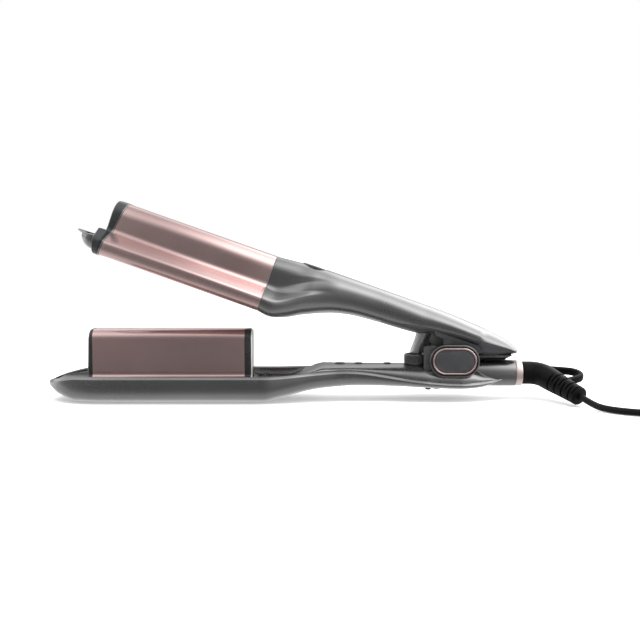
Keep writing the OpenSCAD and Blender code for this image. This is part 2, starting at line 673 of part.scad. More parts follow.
module jaw_cover() color(rose) whole() open_arm() intersection() {
    along_x(jaw_sheet_front, housing_x - seat) difference() {
        polygon(mirrored(jaw_solid(0)));
        polygon(mirrored(jaw_solid(cover_t)));
    }
    behind(cap_back_low + seat, cap_back_top + seat, housing_x);
}
function jaw_solid(d) = concat(jaw_half(d), [[half_w - d, lobe_z - d * 2], [0, lobe_z - d * 2]]);
module upper_plate() color(rose) whole() open_arm() intersection() {
    along_x(jaw_sheet_front, housing_x - seat)
        polygon(concat(channel_path(0), reversed(channel_path(plate_t))));
    behind(cap_back_low + seat, cap_back_top + seat, housing_x);
}
function channel_path(d) =
    let (half = channel_half(d),
        right = concat([[half_w - d, lobe_z - seat]], [for (i = [1:len(half) - 1]) half[i]]))
    concat(right, [for (i = [len(right) - 2:-1:0]) [-right[i][0], right[i][1]]]);

heater_bar_w = 7;
heater_bar_t = 2.4;
// One heater bar lies along the bottom of each hollow lobe
module upper_heaters() color("ivory") whole() open_arm() for (s = [-1, 1])
    translate([ridge_x + heater_inset, s * lobe_y - heater_bar_w / 2, jaw_low + plate_t + 1])
        cube([ridge_l - 2 * heater_inset, heater_bar_w, heater_bar_t]);

// Front cap: the jaw's section, open where the ridge enters. Below the valley it juts out
nose_top = lobe_z + 8;
nose_step = 2.2;
function nose_front(z) = cap_front - nose_out * (z - jaw_low) / (nose_top - jaw_low);
module jaw_front_cap() color(black) whole() open_arm() difference() {
    along_x(cap_front - nose_out - 1, cap_back_top + 2) polygon(concat(
        mirrored_open(jaw_half(0)), lobe_ends()));
    behind(cap_back_low, cap_back_top, housing_x);
    front_of_cap();
}
module front_of_cap() {
    across_y(tray_w + 10) polygon([[nose_front(jaw_low - 10), jaw_low - 10], [nose_front(nose_top), nose_top],
        [cap_front + cap_lean, nose_top + nose_step], [cap_front + cap_lean, crown_h + 10],
        [cap_front - 20, crown_h + 10], [cap_front - 20, jaw_low - 10]]);
}
function mirrored_open(half) =
    concat([for (i = [len(half) - 1:-1:1]) [-half[i][0], half[i][1]]], half);
function lobe_ends() =
    let (half = channel_half(0))
    concat([for (i = [1:len(half) - 1]) half[i]],
        [for (i = [len(half) - 2:-1:1]) [-half[i][0], half[i][1]]]);

// Cool tip: a bowl with a thin flange round its rim, to press the jaw shut with
tip_root = cap_front - seat;
tip_wall = 1.7;
bowl_z = lobe_z + 0.9;
bowl_deep = 8.2;
bowl_l = tip_l / 2;
tip_edge = 0.9;
module bowl(inset) {
    hull() for (x = [-0.27 * tip_l, 0.1 * tip_l]) translate([tip_root + x, 0, bowl_z])
        scale([bowl_l - inset, tip_w / 2 - 0.6 - inset, bowl_deep - inset]) sphere(r = 1, $fn = 32);
}
module cool_tip() color(body_grey) whole() open_arm() difference() {
    union() {
        intersection() {
            bowl(0);
            across_y(tip_w) polygon([[tip_root - tip_l, 0], [nose_front(0) - seat, 0],
                [nose_front(bowl_z + 1) - seat, bowl_z + 1], [tip_root - tip_l, bowl_z + 1]]);
        }
        intersection() {
            across_y(tip_w) polygon([[nose_front(bowl_z) - seat, bowl_z], [tip_root - 0.68 * tip_l, bowl_z],
                [tip_root - tip_l, bowl_z + 1.7 - tip_edge], [tip_root - tip_l, bowl_z + 1.7],
                [tip_root - 0.6 * tip_l, bowl_z + 1.4], [tip_root - 0.2 * tip_l, bowl_z + 2.4],
                [nose_front(bowl_z + 2.4) - seat, bowl_z + 2.4]]);
            translate([tip_root, 0, 10]) linear_extrude(height = 30) {
                translate([tip_w / 2 - tip_l, 0]) circle(d = tip_w);
                translate([tip_w / 2 - tip_l, -tip_w / 2]) square([tip_l - tip_w / 2, tip_w]);
            }
        }
    }
    bowl(tip_wall);
}

// ---------- upper housing, closed ----------

back_keys = [[housing_x, crown_h], [housing_x + 16, back_h - 1.6], [housing_x + 40, back_h],
    [hinge_x - 20, back_h], [hinge_x + 8, back_h - 1.2], [hinge_x + 30, back_h - 3.8],
    [tail_x - 4, back_h - 6.6], [tail_x, back_h - 8.6]];
// Height of the tail's flat underside, which lies level when the jaw stands open
function stop_z(x) = hinge_h + (x * sin(open_angle) + stop_h) / cos(open_angle);
belly_keys = [[housing_x, jaw_low], [housing_x + 8, jaw_low - 1.3], [housing_x + 18, jaw_low + 0.9],
    [housing_x + 31, jaw_low + 6.9], [housing_x + 53.5, 31.8], [housing_x + 67, 34.1],
    [hinge_x - 30, 36.5], [hinge_x - 21, 39], [hinge_x + 2, 41.6], [hinge_x + 10, 41.8],
    [hinge_x + 16.5, stop_z(16.5)], [tail_x - 6, stop_z(tail_l - 6)], [tail_x, 47]];
flank_keys = [[housing_x, half_w], [housing_x + 7, half_w - 0.3], [housing_x + 22, half_w - 4.2],
    [housing_x + 38, half_w - 8.6], [housing_x + 57, back_w / 2 + 1.4],
    [housing_x + 77, back_w / 2], [hinge_x - 20, back_w / 2 + 0.6], [hinge_x + 4, back_w / 2 + 1.4],
    [hinge_x + 24, back_w / 2 - 2], [tail_x - 6, back_w / 2 - 6.5], [tail_x, 4.5]];
blend_keys = [[housing_x, 0], [housing_x + 8, 0.06], [housing_x + 30, 0.72], [housing_x + 47, 1],
    [tail_x, 1]];

// The jaw's closed outline, from the crown round to the bottom, and an oval to match
housing_half = concat([for (p = jaw_half(0)) if (p[0] > eps) p],
    [for (i = [1:7]) arc([lobe_y, lobe_z], lobe_r, 0, -90, 7)[i]],
    [[lobe_y * 0.55, jaw_low + 0.9], [lobe_y * 0.2, jaw_low + 1.6]]);
housing_n = len(housing_half);
function oval_half(i) =
    let (p = oval(86 - i * 172 / (housing_n - 1), 2.3)) [p[0], (p[1] + 1) / 2];
function housing_point(i, x, inset) =
    let (jaw = housing_half[i], k = glide(blend_keys, x), o = oval_half(i),
        w = glide(flank_keys, x) - inset, low = glide(belly_keys, x) + inset,
        high = glide(back_keys, x) - inset,
        u = (1 - k) * jaw[0] / half_w + k * o[0],
        v = (1 - k) * (jaw[1] - jaw_low) / (crown_h - jaw_low) + k * o[1])
    [w * u, low + (high - low) * v];
function housing_ring(x, inset) =
    let (half = [for (i = [0:housing_n - 1]) housing_point(i, x, inset)])
    concat(half, [for (i = [housing_n - 1:-1:0]) [-half[i][0], half[i][1]]]);
housing_stations = concat([housing_x, housing_x + 8, housing_x + 15, housing_x + 22, housing_x + 29,
    housing_x + 36, housing_x + 43, housing_x + 53], between(housing_x + 53, hinge_x - 36, 2),
    [hinge_x - 36, hinge_x - 26, hinge_x - 18, hinge_x - 8, hinge_x + 4, hinge_x + 15,
    hinge_x + 24, tail_x - 10, tail_x - 4, tail_x]);
seam_x = housing_x + seam_from * (hinge_x - housing_x);
room_stations = [housing_x + 30, housing_x + 43, (housing_x + 40 + seam_x) / 2, seam_x - 3];
module housing() {
    loft([for (x = housing_stations) placed(housing_ring(x, 0), x)]);
}
module housing_room() {
    loft([for (x = room_stations) placed(housing_ring(x, wall), x)]);
}

// The side seam climbs from the belly to the tail; the liner is what lies below it
seam_keys = [[seam_x, 33], [seam_x + 6, 37.4], [seam_x + 17, 40.2], [hinge_x - 20, 44.5],
    [hinge_x + 9, 48.2], [hinge_x + 28, 48.3], [tail_x + 2, 47.7]];
seam_stations = concat([seam_x, seam_x + 3, seam_x + 6, seam_x + 11, seam_x + 17],
    between(seam_x + 17, hinge_x - 20, 1), [hinge_x - 20, hinge_x - 8, hinge_x + 9, hinge_x + 20,
    hinge_x + 32, tail_x + 2]);
module below_seam() {
    across_y(tray_w) polygon(concat(
        [for (x = seam_stations) [x, glide(seam_keys, x)]],
        [[tail_x + 2, 20], [seam_x, 20]]));
}
// The shell's side of the seam, in front of it and above it
module above_seam() {
    across_y(tray_w + 4) polygon(concat([[housing_x - 1, jaw_low - 8], [seam_x - seat, jaw_low - 8]],
        [for (x = seam_stations) [x - (x == seam_x ? seat : 0), glide(seam_keys, x) + seat]],
        [[tail_x + 2, back_h + 8], [housing_x - 1, back_h + 8]]));
}
inlay_x = housing_x + inlay_gap;
inlay_t = 1.6;
inlay_sunk = 0.6;
dish_r = 29.2;
upper_screw_at = [[hinge_x - 43, 0], [hinge_x + 26, 0]];
module upper_shell() color(body_grey) whole() open_arm() difference() {
    intersection() {
        difference() {
            housing();
            housing_room();
        }
        above_seam();
    }
    translate([inlay_x, 0, back_h - inlay_t - inlay_sunk]) cylinder(d = inlay_d + 2 * seat, h = 10);
    for (p = upper_screw_at) translate([p[0], p[1], 30]) cylinder(r = screw_r + 0.1, h = 22);
}
lug_top = 43.4;
module upper_liner() color(liner_grey) whole() open_arm() difference() {
    union() {
        intersection() {
            housing();
            below_seam();
        }
        lug();
    }
    rod_y(bush_r + seat / 2, -ear_gap, ear_gap);
    rod_y(spring_r + spring_d + 1.2, -cheek_gap / 2, cheek_gap / 2);
    translate([hinge_x - 13, -cheek_gap / 2, hinge_h - 12]) cube([22, cheek_gap, 12]);
    translate([dial_x, 0, 20]) cylinder(d = post_d + 2 * seat, h = 24);
    for (p = upper_screw_at) translate([p[0], p[1], 20]) {
        cylinder(r = screw_r + 0.1, h = 40);
        cylinder(r = screw_head_r + 0.2, h = glide(belly_keys, p[0]) + 2 - 20);
    }
}
// Block that carries the hinge between the ears
module lug() {
    rod_y(lug_r, -lug_w / 2, lug_w / 2);
    across_y(lug_w) polygon([[hinge_x - 19.5, lug_top], [hinge_x - 17, 37.8], [hinge_x - 13, 36.2], [hinge_x - 8.2, hinge_h + 2],
        [hinge_x, hinge_h - 4], [hinge_x + 8, hinge_h + 2], [hinge_x + 14.6, 37.9], [hinge_x + 19, lug_top]]);
}
bush_r = pin_d / 2 + 1.5;
module pivot_bushes() color("white") whole() open_arm() for (s = [-1, 1]) difference() {
    rod_y(bush_r, min(s * cheek_gap / 2, s * lug_w / 2), max(s * cheek_gap / 2, s * lug_w / 2));
    rod_y(pin_d / 2 + fit, -ear_gap, ear_gap);
}
post_foot = handle_h + 0.1;
module depth_post() color(body_grey) whole() open_arm() translate([dial_x, 0, 0]) {
    translate([0, 0, post_foot + 1]) cylinder(d = post_d, h = 42.5 - post_foot - 1);
    translate([0, 0, post_foot]) cylinder(d1 = post_d - 1.6, d2 = post_d, h = 1 + eps);
}
module top_inlay() color(liner_grey) whole() open_arm()
    translate([inlay_x, 0, back_h - inlay_t - inlay_sunk + seat]) difference() {
        cylinder(d = inlay_d, h = inlay_t);
        translate([0, 0, inlay_t + dish_r - inlay_sunk]) sphere(r = dish_r, $fn = 64);
    }
module upper_screws() color("silver") whole() open_arm()
    for (p = upper_screw_at) translate([p[0], p[1], glide(belly_keys, p[0]) + 0.4]) screw(7.5);

// ---------- cord elbow ----------

swivel_x = arm_l + collar_l;
flange_x = arm_l - 4;
bend_x = swivel_x + elbow_neck;
rib_pitch = 3.1;
rib_count = 8;
rib_deep = 0.9;
leg_top_r = elbow_d / 2 + 0.2;
function leg_r(s) = leg_top_r + (elbow_tip_d / 2 - leg_top_r) * s / leg_l;
ribs_from = leg_l - 1.5 - rib_count * rib_pitch;
function leg_profile() = concat([[0, 0], [leg_r(0), 0]],
    [for (i = [0:rib_count - 1]) let (s = ribs_from + i * rib_pitch)
        each [[leg_r(s), s], [leg_r(s) - rib_deep, s + 0.3], [leg_r(s) - rib_deep, s + 1.1],
            [leg_r(s + 1.5), s + 1.5]]],
    [[leg_r(leg_l), leg_l - 1], [leg_r(leg_l) - 1, leg_l], [0, leg_l]]);
// Places in the elbow's own plane: x along the arm, z below its axis
function elbow_end() = [bend_x + bend_r * sin(elbow_bend) + leg_l * cos(elbow_bend),
    -bend_r * (1 - cos(elbow_bend)) - leg_l * sin(elbow_bend)];
module turned_elbow() {
    translate([0, 0, tube_h]) rotate([-elbow_turn, 0, 0]) children();
}
loop_w = 5;
loop_t = 3.8;
// Centre line of the hanging loop, in the elbow's plane
loop_line = [[bend_x + 5.5, 5.2], [bend_x + 17, 4.2], [bend_x + 27, 2.4], [bend_x + 31.4, 1],
    [bend_x + 34.4, -1.6], [bend_x + 35.2, -4.8], [bend_x + 34, -7.8], [bend_x + 30.6, -10.2],
    [bend_x + 25, -13], [bend_x + 17.5, -17]];
function edge_of(line, off) = [for (i = [0:len(line) - 1])
    let (d = heading(line, i)) line[i] + off * [-d[1], d[0]]];
module cord_elbow() color(black) whole() turned_elbow() {
    rod_x(neck_r, flange_x, bend_x, 0);
    rod_x(bore_r - clear, flange_x, flange_x + 2.2, 0);
    rod_x(elbow_d / 2, swivel_x + clear, bend_x, 0);
    translate([bend_x, 0, -bend_r]) intersection() {
        rotate([90, 0, 0]) rotate_extrude() translate([bend_r, 0]) circle(d = elbow_d);
        across_y(elbow_d + 2) polygon(concat([[0, 0]],
            arc([0, 0], bend_r + elbow_d, 90 + eps, 90 - elbow_bend - eps, 4)));
    }
    translate([bend_x + bend_r * sin(elbow_bend) - eps, 0, -bend_r * (1 - cos(elbow_bend)) + eps])
        rotate([0, 90 + elbow_bend, 0]) rotate_extrude() polygon(leg_profile());
    across_y(loop_w) polygon(concat(edge_of(loop_line, loop_t / 2),
        reversed(edge_of(loop_line, -loop_t / 2))));
}
// Snap ring behind the elbow's flange, in the bore of the handle
module retaining_ring() color("silver") whole() difference() {
    rod_x(bore_r - 0.05, flange_x - 2.4, flange_x - 0.4, tube_h);
    rod_x(4, flange_x - 3, flange_x, tube_h);
}

// ---------- cord, coil, tie and plug (in the row's own frame) ----------

lead_line = [[196.85, -34.4, 6.7], [199.35, -39, 5.3], [201.55, -43.4, 4], [203.95, -47.4, 3],
    [206.75, -51.4, 2.5], [209.95, -55.2, 2.3], [213.95, -59, 2.3], [218.95, -62.4, 2.3], [224.95, -65.2, 2.3],
    [231.95, -67.2, 2.3], [239.95, -68.3, 2.3], [248.95, -68.5, 2.3], [258.45, -68.5, 2.3]];
tail_line = [[305.45, -21.5, 2.3], [305.45, -16, 2.6], [305.45, -11, 3.8], [305.45, -6, 5.6],
    [305.45, -1, 6.6], [305.45, 3, 6.8]];
coil_at = [275.95, -39];
coil_r = 25;
coil_across = 13.5;
coil_high = 18;
tie_w = 8;
tie_t = 1.1;
tie_angle = 200;
module cord_lead() color(black) tube(lead_line, cord_d / 2, 8);
module cord_tail() color(black) tube(tail_line, cord_d / 2, 8);
module coil_section(d) {
    translate([coil_r - coil_across / 2 + d, d]) square([coil_across - 2 * d, coil_high - 2 * d]);
}
module cord_coil() color(black) translate([coil_at[0], coil_at[1], 0]) difference() {
    rotate_extrude() polygon([
        [coil_r - coil_across / 2, 2], [coil_r - coil_across / 2 + 2, 0],
        [coil_r + coil_across / 2 - 2, 0], [coil_r + coil_across / 2, 2],
        [coil_r + coil_across / 2, coil_high - 2], [coil_r + coil_across / 2 - 2, coil_high],
        [coil_r - coil_across / 2 + 2, coil_high], [coil_r - coil_across / 2, coil_high - 2]]);
    rotate([0, 0, tie_angle]) difference() {
        translate([10, -tie_w / 2 - seat, -1]) cube([40, tie_w + 2 * seat, 30]);
        translate([coil_r - coil_across / 2 + 1.6, -tie_w, tie_t + seat])
            cube([coil_across - 3.2, 2 * tie_w, coil_high - 2 * tie_t - 2 * seat]);
    }
}
module cord_tie() color("dimgray") translate([coil_at[0], coil_at[1], 0]) rotate([0, 0, tie_angle])
    difference() {
        translate([coil_r - coil_across / 2 + 1.5 - tie_t, -tie_w / 2, 0])
            cube([coil_across - 3 + 2 * tie_t, tie_w, coil_high]);
        translate([coil_r - coil_across / 2 + 1.5, -tie_w, tie_t])
            cube([coil_across - 3, 2 * tie_w, coil_high - 2 * tie_t]);
    }

plug_at = [305.45, 3.1, 6.85];
plug_t = 13.7;
plug_w = 35;
plug_l = 33;
relief_l = 12;
pin_pitch = 19;
plug_pin_d = 4;
plug_pin_l = 19;
// Flat two-pin plug with a tapered strain relief
module plug_body() color(black) translate(plug_at) {
    rotate([-90, 0, 0]) cylinder(d1 = cord_d + 2.6, d2 = cord_d + 5.5, h = relief_l + eps);
    translate([0, relief_l, -plug_t / 2]) linear_extrude(height = plug_t) polygon([
        [-5.5, 0], [5.5, 0], [plug_w / 2 - 5, plug_l * 0.36], [plug_w / 2, plug_l * 0.72],
        [plug_w / 2, plug_l], [-plug_w / 2, plug_l], [-plug_w / 2, plug_l * 0.72],
        [-plug_w / 2 + 5, plug_l * 0.36]]);
}
module plug_pins() color("silver") translate(plug_at) for (s = [-1, 1])
    translate([s * pin_pitch / 2, relief_l + plug_l, 0]) rotate([-90, 0, 0]) {
        cylinder(d = plug_pin_d - 0.4, h = 10);
        translate([0, 0, 10 - eps]) cylinder(d = plug_pin_d, h = plug_pin_l - 11);
        translate([0, 0, plug_pin_l - 1 - 2 * eps]) cylinder(d1 = plug_pin_d, d2 = plug_pin_d - 1.6, h = 1);
    }

// ---------- the nodes ----------

lower_shell();
tray_deck();
handle_cover();
lower_plate();
ridge_front_cap();
ridge_rear_cap();
lower_heater();
control_board();
power_button();
hotter_button();
cooler_button();
depth_dial();
hinge_pin();
torsion_spring();
hinge_cover_right();
hinge_cover_left();
hinge_trim_right();
hinge_trim_left();
collar_ring();
foot_pads();
lower_screws();
upper_shell();
upper_liner();
jaw_cover();
upper_plate();
upper_heaters();
jaw_front_cap();
cool_tip();
top_inlay();
depth_post();
pivot_bushes();
upper_screws();
cord_elbow();
retaining_ring();
cord_lead();
cord_coil();
cord_tie();
cord_tail();
plug_body();
plug_pins();
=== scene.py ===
"""Dressed model of a hair waver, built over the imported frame.

Sizes are in millimetres, lengths measured from the nose of the lower arm and heights
from the flat bottom of its tray. The upper arm is described closed and swung open.
"""

import logging
import math
from collections.abc import Callable, Sequence
from dataclasses import dataclass, field, replace
from enum import Enum
from functools import partial

import bmesh
import bpy
import numpy as np
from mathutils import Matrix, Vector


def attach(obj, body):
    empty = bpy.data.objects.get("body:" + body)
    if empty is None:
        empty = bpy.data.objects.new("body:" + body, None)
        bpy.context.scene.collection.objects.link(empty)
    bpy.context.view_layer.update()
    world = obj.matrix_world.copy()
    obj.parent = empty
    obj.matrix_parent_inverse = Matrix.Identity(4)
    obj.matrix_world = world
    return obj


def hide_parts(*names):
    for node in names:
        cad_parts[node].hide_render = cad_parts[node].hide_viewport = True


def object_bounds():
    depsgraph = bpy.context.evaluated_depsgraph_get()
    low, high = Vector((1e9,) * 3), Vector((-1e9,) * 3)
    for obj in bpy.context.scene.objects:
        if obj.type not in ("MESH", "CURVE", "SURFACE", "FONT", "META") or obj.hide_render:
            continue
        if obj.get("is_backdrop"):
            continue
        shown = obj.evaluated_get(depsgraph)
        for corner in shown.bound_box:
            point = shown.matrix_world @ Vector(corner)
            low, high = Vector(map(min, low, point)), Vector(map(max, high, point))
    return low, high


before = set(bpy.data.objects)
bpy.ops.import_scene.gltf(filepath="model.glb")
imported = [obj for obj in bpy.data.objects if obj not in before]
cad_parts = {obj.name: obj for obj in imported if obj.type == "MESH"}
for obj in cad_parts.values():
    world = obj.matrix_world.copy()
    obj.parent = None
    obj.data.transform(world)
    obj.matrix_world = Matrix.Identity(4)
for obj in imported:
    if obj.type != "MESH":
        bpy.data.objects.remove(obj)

LOG = logging.getLogger("hair_waver")
Keys = Sequence[tuple[float, float]]
Spot = tuple[float, float, float]
Tone = tuple[float, float, float]


# ---------------------------------------------------------------- shared sizes


@dataclass(frozen=True)
class Layout:
    """Places that more than one sub-assembly needs, in millimetres."""

    arm_l: float = 324.8
    collar_l: float = 4.6
    hinge_back: float = 44.4
    hinge_h: float = 28.4
    open_angle: float = 19.5
    ridge_x: float = 28.2
    ridge_l: float = 113.3
    half_w: float = 28.0
    rim_h: float = 18.8
    handle_h: float = 24.5
    tube_r: float = 9.3
    tube_h: float = 17.9
    wall: float = 2.0
    ear_w: float = 39.0
    dial_gap: float = 25.1

    @property
    def hinge_x(self) -> float:
        """Place of the hinge pin along the arm."""
        return self.arm_l - self.hinge_back

    @property
    def total_l(self) -> float:
        """Length of the lower arm with its collar."""
        return self.arm_l + self.collar_l

    @property
    def ridge_end(self) -> float:
        """Rear end of the heated ridge."""
        return self.ridge_x + self.ridge_l

    @property
    def housing_x(self) -> float:
        """Joint between the heated jaw and the upper housing."""
        return self.ridge_end + 1.5

    @property
    def handle_x(self) -> float:
        """Place where the handle's top reaches its full height."""
        return self.ridge_end + 0.395 * (self.hinge_x - self.ridge_end)

    @property
    def ramp_x(self) -> float:
        """Place where the tray's floor starts to rise to the handle."""
        return self.ridge_end + 0.437 * (self.handle_x - self.ridge_end)


L = Layout()


class Place(Enum):
    """What a shape's millimetres are measured in."""

    LOWER = "lower arm"
    UPPER = "upper arm, closed"
    ROW = "the row's own frame"


class Body(Enum):
    """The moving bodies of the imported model."""

    LOWER = "lower_arm"
    UPPER = "upper_arm"
    DIAL = "depth_dial"
    POWER = "power_button"
    HOTTER = "hotter_button"
    COOLER = "cooler_button"
    CORD = "cord_swivel"


# ---------------------------------------------------------------- shape maths


def glide(keys: Keys, x: np.ndarray | float) -> np.ndarray:
    """Smooth curve through [place, value] keys that never overshoots them.

    Each span is a cubic Hermite piece, and the slope at a key is the harmonic mean of
    the rises on its two sides, or zero where they differ in sign.

    Args:
        keys: Places and values, in rising order of place.
        x: Places to read.

    Returns:
        The values at x.
    """
    k = np.asarray(keys, float)
    x = np.asarray(x, float)
    span = np.diff(k[:, 0])
    rise = np.diff(k[:, 1]) / span
    both = rise[:-1] + rise[1:]
    product = rise[:-1] * rise[1:]
    mean = np.where(product > 0, 2 * product / np.where(both == 0, 1, both), 0)
    slope = np.concatenate([rise[:1], mean, rise[-1:]])
    i = np.clip(np.searchsorted(k[:, 0], x, side="right") - 1, 0, len(k) - 2)
    t = np.clip((x - k[i, 0]) / span[i], 0, 1)
    return (
        k[i, 1] * (1 + 2 * t) * (1 - t) ** 2
        + slope[i] * span[i] * t * (1 - t) ** 2
        + k[i + 1, 1] * t * t * (3 - 2 * t)
        + slope[i + 1] * span[i] * t * t * (t - 1)
    )


def arc(cx: float, cz: float, r: float, a: float, b: float, n: int) -> np.ndarray:
    """Points of an arc about (cx, cz) from angle a to angle b, in degrees.

    Args:
        cx: Centre, first coordinate.
        cz: Centre, second coordinate.
        r: Radius.
        a: First angle.
        b: Last angle.
        n: Number of steps.

    Returns:
        Array of n + 1 points.
    """
    t = np.radians(np.linspace(a, b, n + 1))
    return np.stack([cx + r * np.cos(t), cz + r * np.sin(t)], axis=1)


def squircle(angle: np.ndarray, power: np.ndarray) -> tuple[np.ndarray, np.ndarray]:
    """Superellipse read along rays: cos and sin over the power norm of both.

    Args:
        angle: Angles in radians.
        power: How square the curve is; 2 is a circle.

    Returns:
        The two coordinates, for half axes of 1.
    """
    c, s = np.cos(angle), np.sin(angle)
    norm = (np.abs(c) ** power + np.abs(s) ** power) ** (1 / power)
    return c / norm, s / norm


def ease(t: np.ndarray) -> np.ndarray:
    """Smooth step from 0 to 1, three t squared minus two t cubed."""
    t = np.clip(t, 0, 1)
    return t * t * (3 - 2 * t)


def mirror_ring(half: np.ndarray) -> np.ndarray:
    """Closes a half outline that starts and ends on the middle plane.

    Args:
        half: Points from the top middle round the right side to the bottom middle.

    Returns:
        The whole ring, right side first and then the left side going back up.
    """
    left = half[-2:0:-1] * np.array([-1.0, 1.0])
    return np.concatenate([half, left])


def inset(ring: np.ndarray, d: float) -> np.ndarray:
    """Moves a closed outline inwards along its mitred corner normals.

    Args:
        ring: Closed outline, points in order.
        d: Distance, positive inwards.

    Returns:
        The moved outline, point for point.
    """
    edge = np.roll(ring, -1, axis=0) - ring
    length = np.maximum(np.linalg.norm(edge, axis=1, keepdims=True), 1e-9)
    normal = np.stack([edge[:, 1], -edge[:, 0]], axis=1) / length
    area = np.sum(ring[:, 0] * np.roll(ring[:, 1], -1) - np.roll(ring[:, 0], -1) * ring[:, 1])
    if area < 0:
        normal = -normal
    before = np.roll(normal, 1, axis=0)
    scale = np.maximum(1 + np.sum(normal * before, axis=1, keepdims=True), 0.35)
    return ring - d * (normal + before) / scale


def rounded_outline(corners: Sequence[tuple[float, float, float]], steps: int = 10) -> np.ndarray:
    """Polygon with each corner turned into a quadratic curve.

    Args:
        corners: Corner points with the length that each curve takes off its two sides.
        steps: Points in each curve, less one.

    Returns:
        The rounded closed outline.
    """
    pts = np.array([c[:2] for c in corners], float)
    cut = np.array([c[2] for c in corners], float)[:, None]
    to_next = np.roll(pts, -1, axis=0) - pts
    to_next /= np.linalg.norm(to_next, axis=1, keepdims=True)
    to_last = -np.roll(to_next, 1, axis=0)
    start, end = pts + to_last * cut, pts + to_next * cut
    t = np.linspace(0, 1, steps + 1)[None, :, None]
    curve = (1 - t) ** 2 * start[:, None] + 2 * t * (1 - t) * pts[:, None] + t**2 * end[:, None]
    return curve.reshape(-1, 2)


def resample(path: np.ndarray, spacing: float) -> np.ndarray:
    """Points at even distances along a path.

    Args:
        path: Points of the path.
        spacing: Wanted distance between points.

    Returns:
        The evenly spaced points, with both ends kept.
    """
    reach = np.concatenate([[0], np.cumsum(np.linalg.norm(np.diff(path, axis=0), axis=1))])
    n = max(int(round(reach[-1] / spacing)), 2)
    at = np.linspace(0, reach[-1], n + 1)
    return np.stack([np.interp(at, reach, path[:, k]) for k in range(path.shape[1])], axis=1)


def smooth_path(points: np.ndarray, spacing: float) -> np.ndarray:
    """Catmull-Rom curve through points, then evenly spaced.

    Args:
        points: Points that the curve passes through.
        spacing: Distance between the returned points.

    Returns:
        The curve's points.
    """
    p = np.concatenate([2 * points[:1] - points[1:2], points, 2 * points[-1:] - points[-2:-1]])
    a, b, c, d = (p[i : len(p) - 3 + i][:, None] for i in range(4))
    t = np.linspace(0, 1, 12, endpoint=False)[None, :, None]
    curve = 0.5 * (2 * b + (c - a) * t + (2 * a - 5 * b + 4 * c - d) * t**2 + (3 * b - a - 3 * c + d) * t**3)
    return resample(np.concatenate([curve.reshape(-1, points.shape[1]), points[-1:]]), spacing)


# ---------------------------------------------------------------- meshes


@dataclass
class Shell:
    """Vertices and faces of one closed surface or of several."""

    verts: np.ndarray
    quads: np.ndarray
    caps: list[list[int]] = field(default_factory=list)

    def __add__(self, other: "Shell") -> "Shell":
        """Both surfaces in one, the other's face numbers moved up."""
        n = len(self.verts)
        return Shell(
            np.concatenate([self.verts, other.verts]),
            np.concatenate([self.quads, other.quads + n]),
            self.caps + [[i + n for i in cap] for cap in other.caps],
        )


def skin(rings: np.ndarray, caps: bool = True, closed: bool = False) -> Shell:
    """Surface over rings of points, each ring closed on itself.

    Args:
        rings: Array of rings by points by three coordinates.
        caps: Whether the first and last ring get a flat face.
        closed: Whether the last ring joins the first, as on a torus.

    Returns:
        The surface.
    """
    m, n = rings.shape[:2]
    r = np.arange(m if closed else m - 1)[:, None]
    k = np.arange(n)[None, :]
    a, b = r * n + k, r * n + (k + 1) % n
    nxt = ((r + 1) % m) * n
    quads = np.stack([a, b, nxt + (k + 1) % n, nxt + k], axis=-1).reshape(-1, 4)
    ends = [list(range(n)), list(range((m - 1) * n, m * n))] if caps and not closed else []
    return Shell(rings.reshape(-1, 3), quads, ends)


def prism(
    ring: np.ndarray,
    start: float | Callable[[np.ndarray], np.ndarray],
    end: float | Callable[[np.ndarray], np.ndarray],
    round_start: float,
    round_end: float,
    axis: int = 0,
    steps: int = 5,
) -> Shell:
    """Outline carried straight along an axis, with both end edges rounded.

    Near an end the outline shrinks by r minus r sin t while it moves r minus r cos t in.

    Args:
        ring: Closed outline in the two other axes.
        start: Where it starts, or a function of the outline's points that says so.
        end: Where it ends, likewise.
        round_start: Radius of the first end's edge.
        round_end: Radius of the last end's edge.
        axis: 0, 1 or 2 for X, Y or Z.
        steps: Steps of each rounding.

    Returns:
        The closed surface.
    """
    read = lambda v, pts: v(pts) if callable(v) else np.full(len(pts), float(v))
    t = np.linspace(0, math.pi / 2, steps + 1)
    rows = []
    for where, radius, sign in ((start, round_start, 1.0), (end, round_end, -1.0)):
        turn = t if sign > 0 else t[::-1]
        for a in turn:
            pts = inset(ring, radius * (1 - math.sin(a)))
            along = read(where, ring) + sign * radius * (1 - math.cos(a))
            rows.append(np.insert(pts, axis, along, axis=1))
    return skin(np.array(rows))


def revolve(profile: Sequence[tuple[float, float]], axis: int = 2, n: int = 64) -> Shell:
    """Profile of radius and height turned round an axis.

    Args:
        profile: Radius and place along the axis, from one end to the other.
        axis: 0, 1 or 2 for X, Y or Z.
        n: Points round.

    Returns:
        The closed surface about the origin.
    """
    p = np.asarray(profile, float)
    t = np.linspace(0, 2 * math.pi, n, endpoint=False)
    a = p[:, :1] * np.cos(t)
    b = p[:, :1] * np.sin(t)
    c = np.broadcast_to(p[:, 1:], a.shape)
    order = {0: (c, a, b), 1: (b, c, a), 2: (a, b, c)}[axis]
    return skin(np.stack(order, axis=-1))


